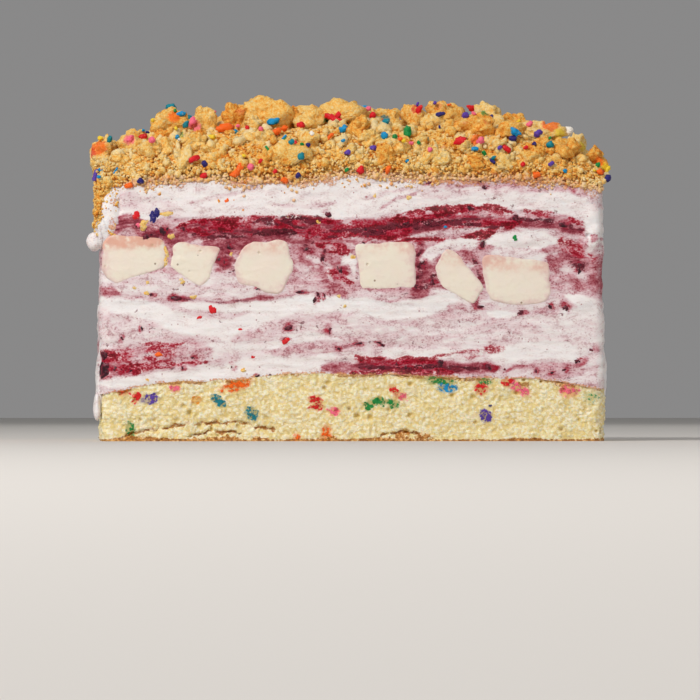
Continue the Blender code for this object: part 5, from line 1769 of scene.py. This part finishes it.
# What stands in the cut face: whole berries, skins and seeds of berries, tan crumbs, and sprinkles:
# pixel place, half width and half height in pixels, turn in degrees, and a sprinkle's colour.
bits = {
    "berries": (
        (107, 366, 5, 7, 0), (120, 366, 4.4, 4.2, 0), (131, 368, 4.2, 3.4, 10), (106, 352, 3, 3, 0),
        (469, 209, 7, 3.8, -20), (223, 259, 4.4, 3.8, 0), (230, 246, 2.6, 3, 30), (183, 228, 4.8, 2.6, 0),
        (149, 236, 4, 2.4, 10), (165, 229, 3.6, 4.4, 0), (314, 297, 1.8, 4, -20), (318, 295, 1.4, 3.6, 20),
        (323, 294, 1.6, 3, 30), (176, 296, 5.4, 2.6, 0), (339, 268, 2.6, 3.4, 20), (321, 255, 1.8, 6, 0),
        (307, 247, 4.2, 2, 20), (424, 262, 3, 4, 0), (430, 280, 3.4, 3, 30), (577, 262, 3.4, 2.6, 0),
        (576, 268, 2.4, 3, 30), (563, 305, 2.8, 3.6, 0), (547, 304, 2.2, 2.2, 0), (477, 305, 4.2, 2, -10),
        (517, 310, 3.8, 2, 15), (575, 358, 3.6, 2.8, 30), (438, 361, 3.4, 3.6, 0), (484, 364, 4, 3.2, 0),
        (533, 367, 2, 2.6, 0), (549, 369, 1.8, 1.6, 0), (561, 366, 2.2, 1.4, 10), (502, 366, 1.6, 1.8, 0),
        (395, 361, 2, 2, 0), (404, 364, 2.2, 2.4, 0), (362, 228, 3, 1.8, 0), (362, 241, 2.6, 1.4, 0),
        (366, 234, 2.6, 1.8, 0), (403, 222, 4, 1.8, 10), (560, 223, 4, 3, 0), (513, 217, 3.2, 3.4, 0),
        (327, 213, 3, 3, 30), (477, 178, 3.6, 2.8, 20), (482, 186, 3, 2.4, -20), (427, 181, 3.6, 2.2, 10),
        (570, 186, 2.2, 3.6, 30), (232, 363, 2.6, 3, 30), (257, 372, 2.2, 1.4, 0), (270, 372, 2.2, 1.2, 0),
        (288, 326, 5, 2.6, 20), (329, 327, 2.6, 3.6, 0), (285, 337, 4, 1.4, 25), (336, 346, 3, 2, 0),
        (124, 336, 2.2, 2.4, 0), (143, 326, 1.6, 2.4, 0), (194, 354, 2.2, 2, 0), (184, 365, 1.8, 1.8, 0),
        (355, 341, 6, 1.6, 10), (376, 339, 3, 1.2, -20), (380, 342, 2.4, 1, -30), (588, 347, 2.2, 2, -40),
        # painted shade: the bit at (479, 243) is a dark bit put in the crack at (481, 242)
        (479, 243, 1.8, 3.4, -15), (152, 293, 2.4, 1.6, 10), (256, 287, 3, 1.2, -5), (299, 290, 4, 1.4, 5),
        (414, 284, 2, 3, 0),
    ),
    "crumbs": (
        (167, 250, 2.4, 5.5, 5), (167, 259, 2.2, 5, -5), (148, 291, 3, 2.4, 0), (183, 280, 3.4, 2.6, 0),
        (149, 281, 2, 1.8, 0), (194, 295, 3.4, 2.2, 10), (136, 286, 2, 1.4, 0), (231, 252, 2, 2.2, 0),
        (241, 253, 1.8, 1.6, 0), (352, 255, 2.6, 2.6, 0), (407, 196, 2.6, 2, 0), (373, 195, 1.8, 2.8, 0),
        (453, 171, 2, 1.6, 0), (172, 235, 3.2, 2.4, 0), (149, 377, 2, 1.6, 0), (243, 367, 3, 2.4, 0),
        (343, 304, 1.8, 1.8, 0), (338, 294, 2.2, 1.8, 0), (317, 221, 2.2, 2.4, 0), (167, 213, 9, 3.4, 5),
        (145, 224, 5, 4.4, 0),
    ),
    "candies": (
        (138, 215, 4.2, 3.6, 20, "red"), (154, 217, 3.2, 4.8, 0, "navy"), (158, 212, 2.6, 3.6, 20, "navy"),
        (213, 307, 3.4, 4, 20, "red"), (240, 327, 1.8, 1.2, 0, "red"), (200, 315, 3, 1.6, 20, "red"),
        (140, 224, 2.4, 2.2, 0, "pink"), (512, 236, 2.8, 2.4, 0, "green"), (253, 354, 2, 1.2, 0, "red"),
        (227, 200, 2.4, 2, 20, "orange"), (219, 200, 1.4, 1.6, 0, "amber"), (443, 225, 1.4, 1, 0, "blue"),
        (285, 338, 5, 2.2, 20, "red"), (160, 352, 3.6, 2.4, 0, "orange"),
    ),
    "grow": 1.3,
    "depth": 0.8,  # as a share of the smaller half size
    "detail": (14, 9),
}


# Bits in the cut face as one mesh, lumpy by a share of their size and sunk by a share of their depth.
def bitMesh(rows, seed, rough, sink):
    rows = np.array(rows, float)
    count = len(rows)
    x, z = placeAt(rows[:, 0], rows[:, 1])
    wide, tall = rows[:, 2] * cake["pixel"] * bits["grow"], rows[:, 3] * cake["pixel"] * bits["grow"]
    deep = np.minimum(wide, tall) * bits["depth"]
    front = np.stack([x, np.full(count, -halfDepth), z], axis=-1)
    out = creamRelief(front, np.broadcast_to(np.array((0.0, -1.0, 0.0)), front.shape))
    front[:, 1] += deep * sink - np.maximum(out, -0.2 * mm)
    ball, quads, triangles = ballGrid(*bits["detail"])
    unit = np.broadcast_to(ball * 2, (count, *ball.shape))
    offset = np.arange(count)[:, None, None] * np.array((2.7, 1.9, 3.3))
    push = 1 + rough * roughNoise(unit * 1.8 + offset, 1.0, seed, 3)
    shaped = unit * push[..., None] * np.stack([wide, deep, tall], axis=-1)[:, None, :]
    turn = np.radians(rows[:, 4])
    c, s = np.cos(turn)[:, None], np.sin(turn)[:, None]
    points = np.stack([shaped[..., 0] * c - shaped[..., 2] * s, shaped[..., 1],
                       shaped[..., 0] * s + shaped[..., 2] * c], axis=-1) + front[:, None, :]
    points = roundedCorners(points, 0.2 * mm)
    # the back cut face repeats them, turned half round
    behind = points * np.array((-1.0, -1.0, 1.0))
    return copiesMesh(np.concatenate([points, behind]), quads, triangles)


def makeBits(berryMaterial, crumbMaterial, candyMaterial):
    points, quads, triangles, _ = bitMesh(bits["berries"], 61, 0.5, 0.82)
    makePiece("berryBits", points, quads, triangles, berryMaterial)
    points, quads, triangles, _ = bitMesh(bits["crumbs"], 62, 0.35, 0.7)
    tone = np.full(len(points), 0.3)
    makePiece("creamCrumbs", points, quads, triangles, crumbMaterial, fields={"tone": tone})
    rows = [row[:5] for row in bits["candies"]]
    points, quads, triangles, each = bitMesh(rows, 63, 0.3, 0.6)
    colours = np.array([linear(tints[row[5]]) for row in bits["candies"]])
    colours = np.repeat(np.concatenate([colours, colours]), each, axis=0)
    makePiece("creamSprinkles", points, quads, triangles, candyMaterial,
              fields={"tint": colours})


# Berry skin and flesh: nearly black, with red, and patches of purple grey that are painted highlights.
def berryPaint():
    paint = Paint("crushedBerry", Subsurface_Weight=0.05, Subsurface_Scale=0.0008, Specular_IOR_Level=0.35)
    fine = paint.cloud(paint.stretched(900, 900, 900), detail=3)
    colour = paint.mix(fine.between(0.40, 0.62), (46, 10, 24), (112, 26, 46))
    # painted highlight: patches of purple grey
    colour = paint.mix(fine.between(0.60, 0.72) * 0.45, colour, (130, 92, 116))
    paint.relief(fine, 0.0004, 0.6)
    return paint.finish(colour, 0.24 + fine * 0.2)


makeCamera()
makeStudio()
print("stage: camera and studio")

cream = creamPaint()
creamLayer("creamLower", "cream_lower", "sponge", cream)
creamLayer("creamMiddle", "cream_middle", "creamLower", cream)
creamLayer("berryRibbon", "berry_ribbon", "creamMiddle", cream)
creamLayer("creamTop", "cream_top", "berryRibbon", cream)
makeDrips(cream)
print("stage: ice cream")

makeSponge(spongePaint())
cheesecake = chunkPaint()
for index, (node, path, side, depth) in enumerate(chunkOutlines()):
    makeChunk(node, path, side, depth, cheesecake, index)
print("stage: sponge and chunks")

crumb = crumbPaint()
places = clumpPlaces()
frontCount = len(clumps["front"]) + clumps["slopeCount"]
heap = [
    makeHeap(crumb),
    makeClumps("crumbleClumps", places[:frontCount], "frontDetail", 51, crumb),
    makeClumps("crumbleTopClumps", places[frontCount:], "topDetail", 52, crumb),
    makeCrumbs("medium", 71, crumb),
]
makeCoat(crumb)
makeCrumbs("fine", 72, crumb)
candy = sprinklePaint()
makeSprinkles(candy, pointsOf(heap))
makeBits(berryPaint(), crumb, candy)
print("stage: crumble, sprinkles and bits")

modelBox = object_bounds()
boxes = {"cad": cadBox, "visual": modelBox}
{name: [list(corner) for corner in box] for name, box in boxes.items()}
